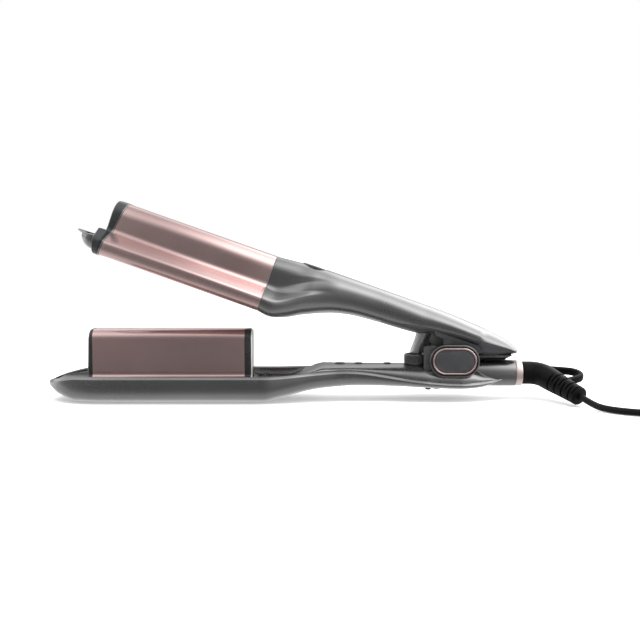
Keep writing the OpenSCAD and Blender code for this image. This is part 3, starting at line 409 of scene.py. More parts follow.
def rod(points: Sequence[tuple[float, float]], radius: float, steps: int = 4) -> list[tuple[float, float]]:
    """Rounds the corners of a turned profile.

    Args:
        points: Radius and height of each corner.
        radius: Length that a corner's curve takes off its sides.
        steps: Points in each curve, less one.

    Returns:
        The rounded profile.
    """
    p = np.asarray(points, float)
    out = [p[:1]]
    for last, here, nxt in zip(p[:-2], p[1:-1], p[2:]):
        va, vb = last - here, nxt - here
        la, lb = np.linalg.norm(va), np.linalg.norm(vb)
        a = here + va / la * min(radius, la / 2)
        b = here + vb / lb * min(radius, lb / 2)
        t = np.linspace(0, 1, steps + 1)[:, None]
        out.append((1 - t) ** 2 * a + 2 * t * (1 - t) * here + t**2 * b)
    out.append(p[-1:])
    return [tuple(q) for q in np.concatenate(out)]


def sweep(path: np.ndarray, ring: np.ndarray, up: np.ndarray) -> Shell:
    """Outline carried along a path, its second axis kept towards a fixed direction.

    Args:
        path: Points of the path.
        ring: Outline points, the same for each path point, or one set for each.
        up: Direction that the outline's second axis leans to.

    Returns:
        The closed surface.
    """
    way = np.gradient(path, axis=0)
    way /= np.linalg.norm(way, axis=1, keepdims=True)
    side = np.cross(way, up)
    side /= np.linalg.norm(side, axis=1, keepdims=True)
    top = np.cross(side, way)
    ring = np.broadcast_to(ring, (len(path),) + ring.shape[-2:])
    return skin(path[:, None] + side[:, None] * ring[..., :1] + top[:, None] * ring[..., 1:])


def moved(shell: Shell, x: float = 0, y: float = 0, z: float = 0) -> Shell:
    """The surface shifted by a vector."""
    return Shell(shell.verts + np.array([x, y, z], float), shell.quads, shell.caps)


def turned(points: Keys, at: Spot = (0, 0, 0), soft: float = 0.0, axis: int = 2, n: int = 64) -> Shell:
    """Turned solid, its corners rounded, moved to a place.

    Args:
        points: Radius and height of each corner.
        at: Where its origin goes.
        soft: Length that a corner's curve takes off its sides, or 0 for sharp corners.
        axis: 0, 1 or 2 for X, Y or Z.
        n: Points round.

    Returns:
        The closed surface.
    """
    return moved(revolve(rod(points, soft) if soft else points, axis, n), *at)


def slab(outline: Sequence[Sequence[float]], half: float, soft: float) -> Shell:
    """Outline of X and Z carried across the middle plane, to half a width on each side.

    Args:
        outline: Closed outline.
        half: Half the width.
        soft: Radius of the two side faces' edges.

    Returns:
        The closed surface.
    """
    return prism(np.array(outline, float), -half, half, soft, soft, axis=1)


def loft(x: np.ndarray, y: np.ndarray, z: np.ndarray) -> Shell:
    """Surface over cross sections, one row of y and z for each place x."""
    return skin(np.stack([np.broadcast_to(x, y.shape), y, z], axis=-1))


def row(*columns: np.ndarray) -> np.ndarray:
    """Columns of points joined into longer rows."""
    return np.concatenate(columns, axis=1)


def to_row(points: np.ndarray, place: Place) -> np.ndarray:
    """Turns design millimetres into metres in the row frame.

    Args:
        points: Points by three coordinates.
        place: What the points are measured in.

    Returns:
        The points in metres.
    """
    p = np.array(points, float)
    if place is Place.UPPER:
        a = math.radians(L.open_angle)
        dx, dz = p[:, 0] - L.hinge_x, p[:, 2] - L.hinge_h
        p[:, 0] = L.hinge_x + dx * math.cos(a) + dz * math.sin(a)
        p[:, 2] = L.hinge_h - dx * math.sin(a) + dz * math.cos(a)
    if place is not Place.ROW:
        p[:, 0] -= L.total_l / 2
    return p / 1000


SHARP_RADIUS = 0.0008
SHORT_SQUARE = 1.5e-8
MERGE = 2e-6


def edge_mask(mesh: bpy.types.Mesh) -> np.ndarray:
    """How sharply each vertex sticks out, from 0 on flats to 1 at a 0.8 mm radius.

    The bend of an edge is the change of normal along it over its length; a vertex takes
    the greatest of its edges, and the result is averaged once over neighbours.

    Args:
        mesh: The mesh to read.

    Returns:
        One value for each vertex.
    """
    n = len(mesh.vertices)
    co = np.empty(n * 3)
    no = np.empty(n * 3)
    mesh.vertices.foreach_get("co", co)
    mesh.vertex_normals.foreach_get("vector", no)
    ends = np.empty(len(mesh.edges) * 2, np.int32)
    mesh.edges.foreach_get("vertices", ends)
    co, no, ends = co.reshape(-1, 3), no.reshape(-1, 3), ends.reshape(-1, 2)
    a, b = ends[:, 0], ends[:, 1]
    d = co[b] - co[a]
    square = np.sum(d * d, axis=1)
    turn = np.sum((no[b] - no[a]) * d, axis=1)
    bend = np.where(square > SHORT_SQUARE, turn / np.maximum(square, SHORT_SQUARE), 0)
    top = np.zeros(n)
    np.maximum.at(top, a, bend)
    np.maximum.at(top, b, bend)
    mask = np.clip(top * SHARP_RADIUS, 0, 1)
    total, count = mask.copy(), np.ones(n)
    np.add.at(total, a, mask[b])
    np.add.at(total, b, mask[a])
    np.add.at(count, a, 1)
    np.add.at(count, b, 1)
    return total / count


def piece(
    name: str,
    shell: Shell,
    finish: "Finish",
    replaces: Sequence[str] = (),
    *,
    place: Place,
    body: Body,
    sharp: float = 32.0,
    cutters: Sequence[Shell] = (),
) -> bpy.types.Object:
    """Makes an object of a surface, dresses it and lets it ride on a body.

    Args:
        name: Name of the piece.
        shell: Its surface, in millimetres.
        finish: Its finish.
        replaces: CAD nodes that it stands for.
        place: What the millimetres are measured in.
        body: Body that it rides on.
        sharp: Angle in degrees above which an edge is shaded sharp.
        cutters: Closed surfaces that are cut out of it.

    Returns:
        The object.
    """
    obj = solid(name, shell, place)
    if cutters:
        cut_out(obj, cutters, place)
    mesh = obj.data
    mesh.name = name
    mesh.polygons.foreach_set("use_smooth", np.ones(len(mesh.polygons), bool))
    mesh.set_sharp_from_angle(angle=math.radians(sharp))
    mask = mesh.attributes.new("edge", "FLOAT", "POINT")
    mask.data.foreach_set("value", edge_mask(mesh).astype(np.float32))
    mesh.materials.clear()
    mesh.materials.append(finish.material())
    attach(obj, body.value)
    if replaces:
        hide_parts(*replaces)
    LOG.info("%s: %d faces", name, len(mesh.polygons))
    return obj


def cut_out(obj: bpy.types.Object, cutters: Sequence[Shell], place: Place) -> None:
    """Takes closed surfaces out of an object and keeps the result as its mesh.

    Args:
        obj: The object.
        cutters: The surfaces.
        place: What their millimetres are measured in.
    """
    tool = cutters[0]
    for more in cutters[1:]:
        tool = tool + more
    knife = solid(obj.name + "_cut", tool, place)
    mod = obj.modifiers.new("cut", "BOOLEAN")
    mod.operation, mod.solver, mod.object, mod.use_self = "DIFFERENCE", "EXACT", knife, True
    bpy.context.view_layer.update()
    cut = bpy.data.meshes.new_from_object(obj.evaluated_get(bpy.context.evaluated_depsgraph_get()))
    obj.modifiers.clear()
    obj.data = cut
    bpy.data.objects.remove(knife)


on_lower = partial(piece, place=Place.LOWER, body=Body.LOWER)
on_upper = partial(piece, place=Place.UPPER, body=Body.UPPER)
on_cord = partial(piece, place=Place.ROW, body=Body.CORD)


def solid(name: str, shell: Shell, place: Place) -> bpy.types.Object:
    """A bare object of a surface, doubles merged and faces pointing out.

    Args:
        name: Name of the object and its mesh.
        shell: Its surface, in millimetres.
        place: What the millimetres are measured in.

    Returns:
        The object, linked to the scene.
    """
    mesh = bpy.data.meshes.new(name)
    verts = to_row(shell.verts, place)
    mesh.from_pydata(verts.tolist(), [], shell.quads.tolist() + shell.caps)
    work = bmesh.new()
    work.from_mesh(mesh)
    bmesh.ops.remove_doubles(work, verts=work.verts, dist=MERGE)
    bmesh.ops.recalc_face_normals(work, faces=work.faces)
    work.to_mesh(mesh)
    work.free()
    obj = bpy.data.objects.new(name, mesh)
    bpy.context.scene.collection.objects.link(obj)
    return obj


# ---------------------------------------------------------------- finishes


Join = tuple[bpy.types.Node, int | str, bpy.types.Node, int | str]


class Nodes:
    """Short hand for building one node tree."""

    def __init__(self, tree: bpy.types.NodeTree) -> None:
        """Keeps the tree that nodes are added to."""
        self.tree = tree

    def add(self, kind: str, **values: object) -> bpy.types.Node:
        """Adds a node and sets its properties, or its inputs where a name starts with in_.

        Args:
            kind: Node type.
            values: Properties, and inputs as in_0, in_Scale and so on.

        Returns:
            The node.
        """
        node = self.tree.nodes.new(kind)
        for key, value in values.items():
            if key.startswith("in_"):
                slot = key[3:].replace("_", " ")
                node.inputs[int(slot) if slot.isdigit() else slot].default_value = value
            else:
                setattr(node, key, value)
        return node

    def wire(self, *joins: Join) -> None:
        """Joins outputs to inputs, each given as node, output, node and input."""
        for source, out, target, into in joins:
            self.tree.links.new(source.outputs[out], target.inputs[into])


Group = tuple[bpy.types.NodeTree, Nodes, bpy.types.Node, bpy.types.Node]


def new_group(name: str, inputs: dict[str, tuple[str, object]], outputs: dict[str, str]) -> Group:
    """Makes an empty shader node group with named sockets.

    Args:
        name: Name of the group.
        inputs: Socket types and defaults by name.
        outputs: Socket types by name.

    Returns:
        The group, a helper for it, and its input and output nodes.
    """
    tree = bpy.data.node_groups.new(name, "ShaderNodeTree")
    for label, (kind, value) in inputs.items():
        socket = tree.interface.new_socket(label, in_out="INPUT", socket_type=kind)
        if value is not None:
            socket.default_value = value
    for label, kind in outputs.items():
        tree.interface.new_socket(label, in_out="OUTPUT", socket_type=kind)
    nodes = Nodes(tree)
    return tree, nodes, nodes.add("NodeGroupInput"), nodes.add("NodeGroupOutput")


FLOAT, VECTOR, COLOUR = "NodeSocketFloat", "NodeSocketVector", "NodeSocketColor"


class Effects:
    """The shared shader groups, each built the first time it is asked for."""

    made: dict[str, bpy.types.NodeTree] = {}

    @classmethod
    def get(cls, name: str) -> bpy.types.NodeTree:
        """The group of that name, built if need be."""
        if name not in cls.made:
            cls.made[name] = getattr(cls, name)()
        return cls.made[name]

    @staticmethod
    def moulded_grain() -> bpy.types.NodeTree:
        """Height of a spark-eroded mould: fine cells with a slow swell under them."""
        tree, n, i, o = new_group(
            "moulded_grain",
            {"Vector": (VECTOR, None), "Scale": (FLOAT, 900.0), "Swell": (FLOAT, 0.2)},
            {"Height": FLOAT},
        )
        cells = n.add("ShaderNodeTexVoronoi", feature="SMOOTH_F1", in_Smoothness=0.6)
        swell = n.add("ShaderNodeTexNoise", in_Scale=38.0, in_Detail=3.0)
        mix = n.add("ShaderNodeMix", data_type="FLOAT")
        n.wire(
            (i, "Vector", cells, "Vector"), (i, "Scale", cells, "Scale"), (i, "Vector", swell, "Vector"),
            (i, "Swell", mix, 0), (cells, "Distance", mix, 2), (swell, 0, mix, 3), (mix, 0, o, "Height"))
        return tree

    @staticmethod
    def satin_lines() -> bpy.types.NodeTree:
        """Height of fine lines drawn along X by a finishing wheel."""
        tree, n, i, o = new_group(
            "satin_lines",
            {"Vector": (VECTOR, None), "Along": (FLOAT, 14.0), "Across": (FLOAT, 900.0)},
            {"Height": FLOAT},
        )
        scale = n.add("ShaderNodeCombineXYZ")
        stretch = n.add("ShaderNodeVectorMath", operation="MULTIPLY")
        lines = n.add("ShaderNodeTexNoise", in_Scale=1.0, in_Detail=4.0, in_Roughness=0.6)
        n.wire(
            (i, "Along", scale, 0), (i, "Across", scale, 1), (i, "Across", scale, 2),
            (i, "Vector", stretch, 0), (scale, 0, stretch, 1), (stretch, 0, lines, "Vector"),
            (lines, 0, o, "Height"))
        return tree

    @staticmethod
    def tone_drift() -> bpy.types.NodeTree:
        """Colour that drifts slowly between two tones and sparkles with fine flake."""
        tree, n, i, o = new_group(
            "tone_drift",
            {
                "Vector": (VECTOR, None),
                "Tone": (COLOUR, (0.5, 0.5, 0.5, 1)),
                "Other": (COLOUR, (0.4, 0.4, 0.4, 1)),
                "Scale": (FLOAT, 22.0),
                "Flake": (FLOAT, 0.1),
            },
            {"Color": COLOUR},
        )
        noise = n.add("ShaderNodeTexNoise", in_Detail=4.0, in_Roughness=0.55)
        spread = n.add("ShaderNodeMapRange", in_1=0.35, in_2=0.65)
        flake = n.add("ShaderNodeTexVoronoi", in_Scale=2600.0)
        level = n.add("ShaderNodeMapRange", in_1=0.0, in_2=1.0, in_3=0.78, in_4=1.22)
        drift = n.add("ShaderNodeMix", data_type="RGBA")
        glint = n.add("ShaderNodeMix", data_type="RGBA", blend_type="MULTIPLY")
        n.wire(
            (i, "Vector", noise, "Vector"), (i, "Scale", noise, "Scale"), (noise, 0, spread, 0),
            (spread, 0, drift, 0), (i, "Tone", drift, 6), (i, "Other", drift, 7),
            (i, "Vector", flake, "Vector"), (flake, "Color", level, 0), (i, "Flake", glint, 0),
            (drift, 2, glint, 6), (level, 0, glint, 7), (glint, 2, o, "Color"))
        return tree

    @staticmethod
    def edge_wear() -> bpy.types.NodeTree:
        """Colour rubbed towards a worn tone where the edge mask and a noise are high."""
        tree, n, i, o = new_group(
            "edge_wear",
            {
                "Vector": (VECTOR, None),
                "Color": (COLOUR, (0.5, 0.5, 0.5, 1)),
                "Worn": (COLOUR, (0.6, 0.6, 0.6, 1)),
                "Edge": (FLOAT, 0.0),
                "Amount": (FLOAT, 0.3),
            },
            {"Color": COLOUR, "Mask": FLOAT},
        )
        patchy = n.add("ShaderNodeTexNoise", in_Scale=160.0, in_Detail=5.0, in_Roughness=0.65)
        spread = n.add("ShaderNodeMapRange", in_1=0.4, in_2=0.7)
        times = n.add("ShaderNodeMath", operation="MULTIPLY")
        amount = n.add("ShaderNodeMath", operation="MULTIPLY", use_clamp=True)
        mix = n.add("ShaderNodeMix", data_type="RGBA")
        n.wire(
            (i, "Vector", patchy, "Vector"), (patchy, 0, spread, 0), (spread, 0, times, 0),
            (i, "Edge", times, 1), (times, 0, amount, 0), (i, "Amount", amount, 1), (amount, 0, mix, 0),
            (i, "Color", mix, 6), (i, "Worn", mix, 7), (mix, 2, o, "Color"), (amount, 0, o, "Mask"))
        return tree

    @staticmethod
    def handling_marks() -> bpy.types.NodeTree:
        """Roughness with faint hand smears and hair-fine scratches in it."""
        tree, n, i, o = new_group(
            "handling_marks",
            {"Vector": (VECTOR, None), "Low": (FLOAT, 0.3), "High": (FLOAT, 0.4)},
            {"Roughness": FLOAT},
        )
        smear = n.add("ShaderNodeTexNoise", in_Scale=22.0, in_Detail=2.0, in_Roughness=0.5, in_Distortion=0.6)
        fine = n.add("ShaderNodeTexNoise", in_Scale=120.0, in_Detail=1.0)
        both = n.add("ShaderNodeMix", data_type="FLOAT", in_0=0.2)
        spread = n.add("ShaderNodeMapRange", in_1=0.3, in_2=0.7)
        n.wire(
            (i, "Vector", smear, "Vector"), (i, "Vector", fine, "Vector"), (smear, 0, both, 2),
            (fine, 0, both, 3), (both, 0, spread, 0), (i, "Low", spread, 3), (i, "High", spread, 4),
            (spread, 0, o, "Roughness"))
        return tree


class Texture(Enum):
    """What a finish's fine relief looks like."""

    GRAIN = "moulded_grain"
    LINES = "satin_lines"


RELIEF_DEPTH = 0.0002
COAT_ROUGH = 0.12


@dataclass(frozen=True)
class Finish:
    """One procedural finish: its tones, gloss, fine relief and wear."""

    slot: str
    tone: Tone
    other: Tone
    worn: Tone
    rough: tuple[float, float]
    metallic: float = 0.0
    coat: float = 0.0
    specular: float = 0.5
    texture: Texture = Texture.GRAIN
    relief: float = 0.05
    grain: float = 900.0
    flake: float = 0.0
    wear: float = 0.3
    label: str = ""

    @property
    def title(self) -> str:
        """Name of the material, after the label or the slot."""
        return (self.label or self.slot) + "_finish"

    def material(self) -> bpy.types.Material:
        """The finish as a material, made once."""
        found = bpy.data.materials.get(self.title)
        return found or self.build()

    def build(self) -> bpy.types.Material:
        """Builds the material's nodes.

        Returns:
            The new material.
        """
        mat = bpy.data.materials.new(self.title)
        mat.use_nodes = True
        mat.node_tree.nodes.clear()
        n = Nodes(mat.node_tree)
        place = n.add("ShaderNodeTexCoord")
        drift = n.add("ShaderNodeGroup", node_tree=Effects.get("tone_drift"), in_Flake=self.flake)
        drift.inputs["Tone"].default_value = (*self.tone, 1)
        drift.inputs["Other"].default_value = (*self.other, 1)
        edge = n.add("ShaderNodeAttribute", attribute_name="edge")
        wear = n.add("ShaderNodeGroup", node_tree=Effects.get("edge_wear"), in_Amount=self.wear)
        wear.inputs["Worn"].default_value = (*self.worn, 1)
        marks = n.add("ShaderNodeGroup", node_tree=Effects.get("handling_marks"))
        marks.inputs["Low"].default_value, marks.inputs["High"].default_value = self.rough
        relief = n.add("ShaderNodeGroup", node_tree=Effects.get(self.texture.value))
        if self.texture is Texture.GRAIN:
            relief.inputs["Scale"].default_value = self.grain
        bump = n.add("ShaderNodeBump", in_Strength=self.relief, in_Distance=RELIEF_DEPTH)
        skin_node = n.add("ShaderNodeBsdfPrincipled", in_Metallic=self.metallic, in_Coat_Weight=self.coat)
        skin_node.inputs["Coat Roughness"].default_value = COAT_ROUGH
        skin_node.inputs["Specular IOR Level"].default_value = self.specular
        out = n.add("ShaderNodeOutputMaterial")
        n.wire(*((place, "Object", group, "Vector") for group in (drift, wear, marks, relief)))
        n.wire(
            (drift, "Color", wear, "Color"), (edge, "Fac", wear, "Edge"),
            (wear, "Color", skin_node, "Base Color"), (marks, "Roughness", skin_node, "Roughness"),
            (relief, "Height", bump, "Height"), (bump, "Normal", skin_node, "Normal"),
            (skin_node, 0, out, 0))
        return mat


GUNMETAL = Finish(
    slot="body_plastic", tone=(0.262, 0.262, 0.262), other=(0.24, 0.24, 0.241), worn=(0.34, 0.34, 0.34),
    rough=(0.262, 0.278), metallic=0.95, coat=0.05, relief=0.004, grain=1100.0, wear=0.04)
GRAPHITE = Finish(
    slot="liner_plastic", tone=(0.058, 0.059, 0.062), other=(0.045, 0.046, 0.049), worn=(0.2, 0.2, 0.2),
    rough=(0.34, 0.44), metallic=0.25, relief=0.09, grain=1300.0, flake=0.2, wear=0.25)
KNURLED = replace(
    GRAPHITE, tone=(0.12, 0.12, 0.124), other=(0.1, 0.1, 0.103), rough=(0.27, 0.31), metallic=0.6, relief=0.02,
    label="knurled_grey")
ROSE_PLATE = Finish(
    slot="rose_plate", tone=(0.64, 0.465, 0.448), other=(0.58, 0.415, 0.402), worn=(0.76, 0.6, 0.58),
    rough=(0.215, 0.23), metallic=0.93, texture=Texture.LINES, relief=0.006, wear=0.08)
ROSE_TRIM = Finish(
    slot="rose_trim", tone=(0.82, 0.62, 0.59), other=(0.72, 0.52, 0.5), worn=(0.9, 0.78, 0.75),
    rough=(0.2, 0.28), metallic=1.0, texture=Texture.LINES, relief=0.03, wear=0.35)
PALE_RING = Finish(
    slot="pale_collar", tone=(0.9, 0.77, 0.74), other=(0.84, 0.7, 0.67), worn=(0.94, 0.86, 0.84),
    rough=(0.36, 0.44), metallic=0.9, texture=Texture.LINES, relief=0.02, wear=0.3)
HEATPROOF = Finish(
    slot="black_plastic", tone=(0.024, 0.025, 0.026), other=(0.018, 0.019, 0.02), worn=(0.09, 0.09, 0.09),
    rough=(0.24, 0.33), coat=0.1, relief=0.08, grain=1200.0, wear=0.35)
RUBBER = Finish(
    slot="black_rubber", tone=(0.004, 0.004, 0.0042), other=(0.003, 0.003, 0.0032), worn=(0.014, 0.014, 0.014),
    rough=(0.42, 0.54), specular=0.1, relief=0.16, grain=1000.0, wear=0.4)
SHEATH = Finish(
    slot="cord_sheath", tone=(0.006, 0.006, 0.0063), other=(0.004, 0.004, 0.0043), worn=(0.015, 0.015, 0.015),
    rough=(0.42, 0.54), specular=0.16, relief=0.12, grain=1400.0, wear=0.0)
# The body plastic painted nearly twice as light for the stop post: painted highlight along the post.
BODY_PLASTIC_LIT = Finish(
    slot="body_plastic", tone=(0.5, 0.5, 0.5), other=(0.44, 0.44, 0.44), worn=(0.6, 0.6, 0.6),
    rough=(0.25, 0.27), metallic=0.9, texture=Texture.LINES, relief=0.01, wear=0.1, label="body_plastic_lit")
STEEL = Finish(
    slot="steel", tone=(0.56, 0.57, 0.58), other=(0.48, 0.49, 0.5), worn=(0.7, 0.7, 0.7),
    rough=(0.22, 0.34), metallic=1.0, texture=Texture.LINES, relief=0.08, wear=0.2)
BOARD = Finish(
    slot="board_green", tone=(0.02, 0.13, 0.045), other=(0.015, 0.1, 0.035), worn=(0.1, 0.3, 0.12),
    rough=(0.3, 0.4), relief=0.05)
CERAMIC = Finish(
    slot="heater_ceramic", tone=(0.76, 0.74, 0.66), other=(0.68, 0.66, 0.58), worn=(0.85, 0.84, 0.8),
    rough=(0.5, 0.65), relief=0.1)
NYLON = Finish(
    slot="nylon", tone=(0.78, 0.78, 0.75), other=(0.72, 0.72, 0.69), worn=(0.85, 0.85, 0.83),
    rough=(0.4, 0.5), relief=0.06)


# ---------------------------------------------------------------- studio


@dataclass
class Studio:
    """Camera, lamps, floor and world."""

    lens: float = 48.4
    eye: Spot = (0.02425, -0.5977, 0.1072)
    pitch: float = 85.0
    floor_size: float = 14.0
    room: tuple[tuple[float, float], ...] = (
        (-180, 1.0), (-140, 1.1), (-117, 0.8), (-84, 0.72), (-68, 0.6), (-46, 0.28), (-24, 0.17), (-12, 0.16),
        (0, 0.2), (12, 0.21), (25, 0.26), (42, 0.65), (60, 1.1), (90, 0.8), (110, 0.6), (140, 1.35),
        (155, 0.9), (170, 0.35), (180, 0.3))
    across: tuple[tuple[float, float], ...] = (
        (-1.0, 1.6), (-0.3, 1.2), (-0.2, 1.05), (-0.1, 0.9), (0.0, 0.9), (0.1, 1.0), (0.2, 1.4),
        (0.3, 2.4), (0.45, 2.9), (1.0, 2.9))
    lamp_at: Spot = (0.0, -0.05, 0.95)
    lamp_aim: Spot = (0.0, 0.0, 0.05)
    lamp_size: tuple[float, float] = (1.3, 0.5)
    lamp_power: float = 12.0
    floor_tone: float = 0.84
    floor_glow: float = 0.3
    floor_drop: float = 0.0002

    def camera(self) -> None:
        """Places the camera at the side, looking down by five degrees."""
        data = bpy.data.cameras.new("side_view")
        data.lens, data.sensor_width, data.sensor_fit = self.lens, 36.0, "AUTO"
        data.clip_start, data.clip_end = 0.02, 60.0
        cam = bpy.data.objects.new("side_view", data)
        cam.location = self.eye
        cam.rotation_euler = (math.radians(self.pitch), 0, 0)
        bpy.context.scene.collection.objects.link(cam)
        bpy.context.scene.camera = cam

    def lamp(self) -> None:
        """Hangs one soft rectangular lamp overhead, which reflections leave out."""
        data = bpy.data.lights.new("overhead", "AREA")
        data.shape, data.energy = "RECTANGLE", self.lamp_power
        data.size, data.size_y = self.lamp_size
        obj = bpy.data.objects.new("overhead", data)
        way = np.array(self.lamp_aim, float) - np.array(self.lamp_at, float)
        tilt = math.atan2(math.hypot(way[0], way[1]), -way[2])
        obj.location = self.lamp_at
        obj.rotation_euler = (tilt, 0, math.atan2(-way[0], way[1]))
        obj.visible_glossy = False
        bpy.context.scene.collection.objects.link(obj)

    def floor(self) -> None:
        """Lays a plain pale floor that keeps the object's shadow."""
        s = self.floor_size / 2
        mesh = bpy.data.meshes.new("studio_floor")
        mesh.from_pydata([(-s, -s, 0), (s, -s, 0), (s, s, 0), (-s, s, 0)], [], [(0, 1, 2, 3)])
        obj = bpy.data.objects.new("studio_floor", mesh)
        obj.location.z = -self.floor_drop
        bpy.context.scene.collection.objects.link(obj)
        mat = bpy.data.materials.new("pale_floor")
        mat.use_nodes = True
        mat.node_tree.nodes.clear()
        n = Nodes(mat.node_tree)
        path = n.add("ShaderNodeLightPath")
        matt = n.add("ShaderNodeBsdfDiffuse", in_Color=(*[self.floor_tone] * 3, 1))
        glow = n.add("ShaderNodeEmission", in_Color=(1, 1, 1, 1))
        seen = n.add("ShaderNodeMath", operation="MULTIPLY", in_1=self.floor_glow)
        total = n.add("ShaderNodeAddShader")
        out = n.add("ShaderNodeOutputMaterial")
        n.wire(
            (path, "Is Camera Ray", seen, 0), (seen, 0, glow, "Strength"), (matt, 0, total, 0),
            (glow, 0, total, 1), (total, 0, out, 0))
        obj.visible_glossy = False
        mesh.materials.append(mat)
        obj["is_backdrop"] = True

    @staticmethod
    def levels(n: Nodes, stops: Sequence[tuple[float, float]]) -> tuple[bpy.types.Node, float]:
        """Curve with straight stretches between stops.

        Args:
            n: Node tree to add it to.
            stops: Place from 0 to 1 and level, in order.

        Returns:
            The curve, scaled to 1 at its highest, and that highest level.
        """
        node = n.add("ShaderNodeFloatCurve")
        curve, most = node.mapping.curves[0], max(level for _, level in stops)
        curve.points[0].location = (0.0, stops[0][1] / most)
        curve.points[1].location = (1.0, stops[-1][1] / most)
        for at, level in stops[1:-1]:
            curve.points.new(at, level / most)
        for point in curve.points:
            point.handle_type = "VECTOR"
        node.mapping.update()
        return node, most

    def world(self) -> None:
        """White to the camera; to the object, a soft room that changes round and along the arms.

        The brightness is one curve of the angle from the front horizon, which is the arc
        tangent of height over nearness, times another of the share towards the cord's end.
        """
        world = bpy.data.worlds.new("soft_room")
        bpy.context.scene.world = world
        world.use_nodes = True
        world.node_tree.nodes.clear()
        n = Nodes(world.node_tree)
        way = n.add("ShaderNodeTexCoord")
        split = n.add("ShaderNodeSeparateXYZ")
        front = n.add("ShaderNodeMath", operation="MULTIPLY", in_1=-1.0)
        turn = n.add("ShaderNodeMath", operation="ARCTAN2")
        share = n.add("ShaderNodeMath", operation="MULTIPLY_ADD", in_1=0.5 / math.pi, in_2=0.5)
        side = n.add("ShaderNodeMath", operation="MULTIPLY_ADD", in_1=0.5, in_2=0.5)
        round_it, round_most = self.levels(n, [((at + 180) / 360, level) for at, level in self.room])
        along, along_most = self.levels(n, [((at + 1) / 2, level) for at, level in self.across])
        raised = n.add("ShaderNodeMapRange", in_1=-0.6, in_2=-0.1, in_3=0.0, in_4=1.0)
        along_up = n.add("ShaderNodeMix", data_type="FLOAT", in_2=1.0 / along_most)
        both = n.add("ShaderNodeMath", operation="MULTIPLY")
        times = n.add("ShaderNodeMath", operation="MULTIPLY", in_1=round_most * along_most)
        path = n.add("ShaderNodeLightPath")
        room = n.add("ShaderNodeBackground", in_Color=(1, 1, 1, 1))
        white = n.add("ShaderNodeBackground", in_Color=(1, 1, 1, 1), in_Strength=1.0)
        mix = n.add("ShaderNodeMixShader")
        out = n.add("ShaderNodeOutputWorld")
        n.wire(
            (way, "Generated", split, 0), (split, 1, front, 0), (split, 2, turn, 0), (front, 0, turn, 1),
            (turn, 0, share, 0), (share, 0, round_it, "Value"), (split, 0, side, 0),
            (side, 0, along, "Value"), (round_it, 0, both, 0), (split, 2, raised, 0),
            (raised, 0, along_up, 0), (along, 0, along_up, 3), (along_up, 0, both, 1), (both, 0, times, 0),
            (times, 0, room, "Strength"), (path, "Is Camera Ray", mix, 0), (room, 0, mix, 1),
            (white, 0, mix, 2), (mix, 0, out, 0))

    def build(self) -> None:
        """Sets up everything round the object."""
        self.world()
        self.floor()
        self.lamp()
        bpy.context.scene.view_settings.view_transform = "Standard"


# ---------------------------------------------------------------- cord


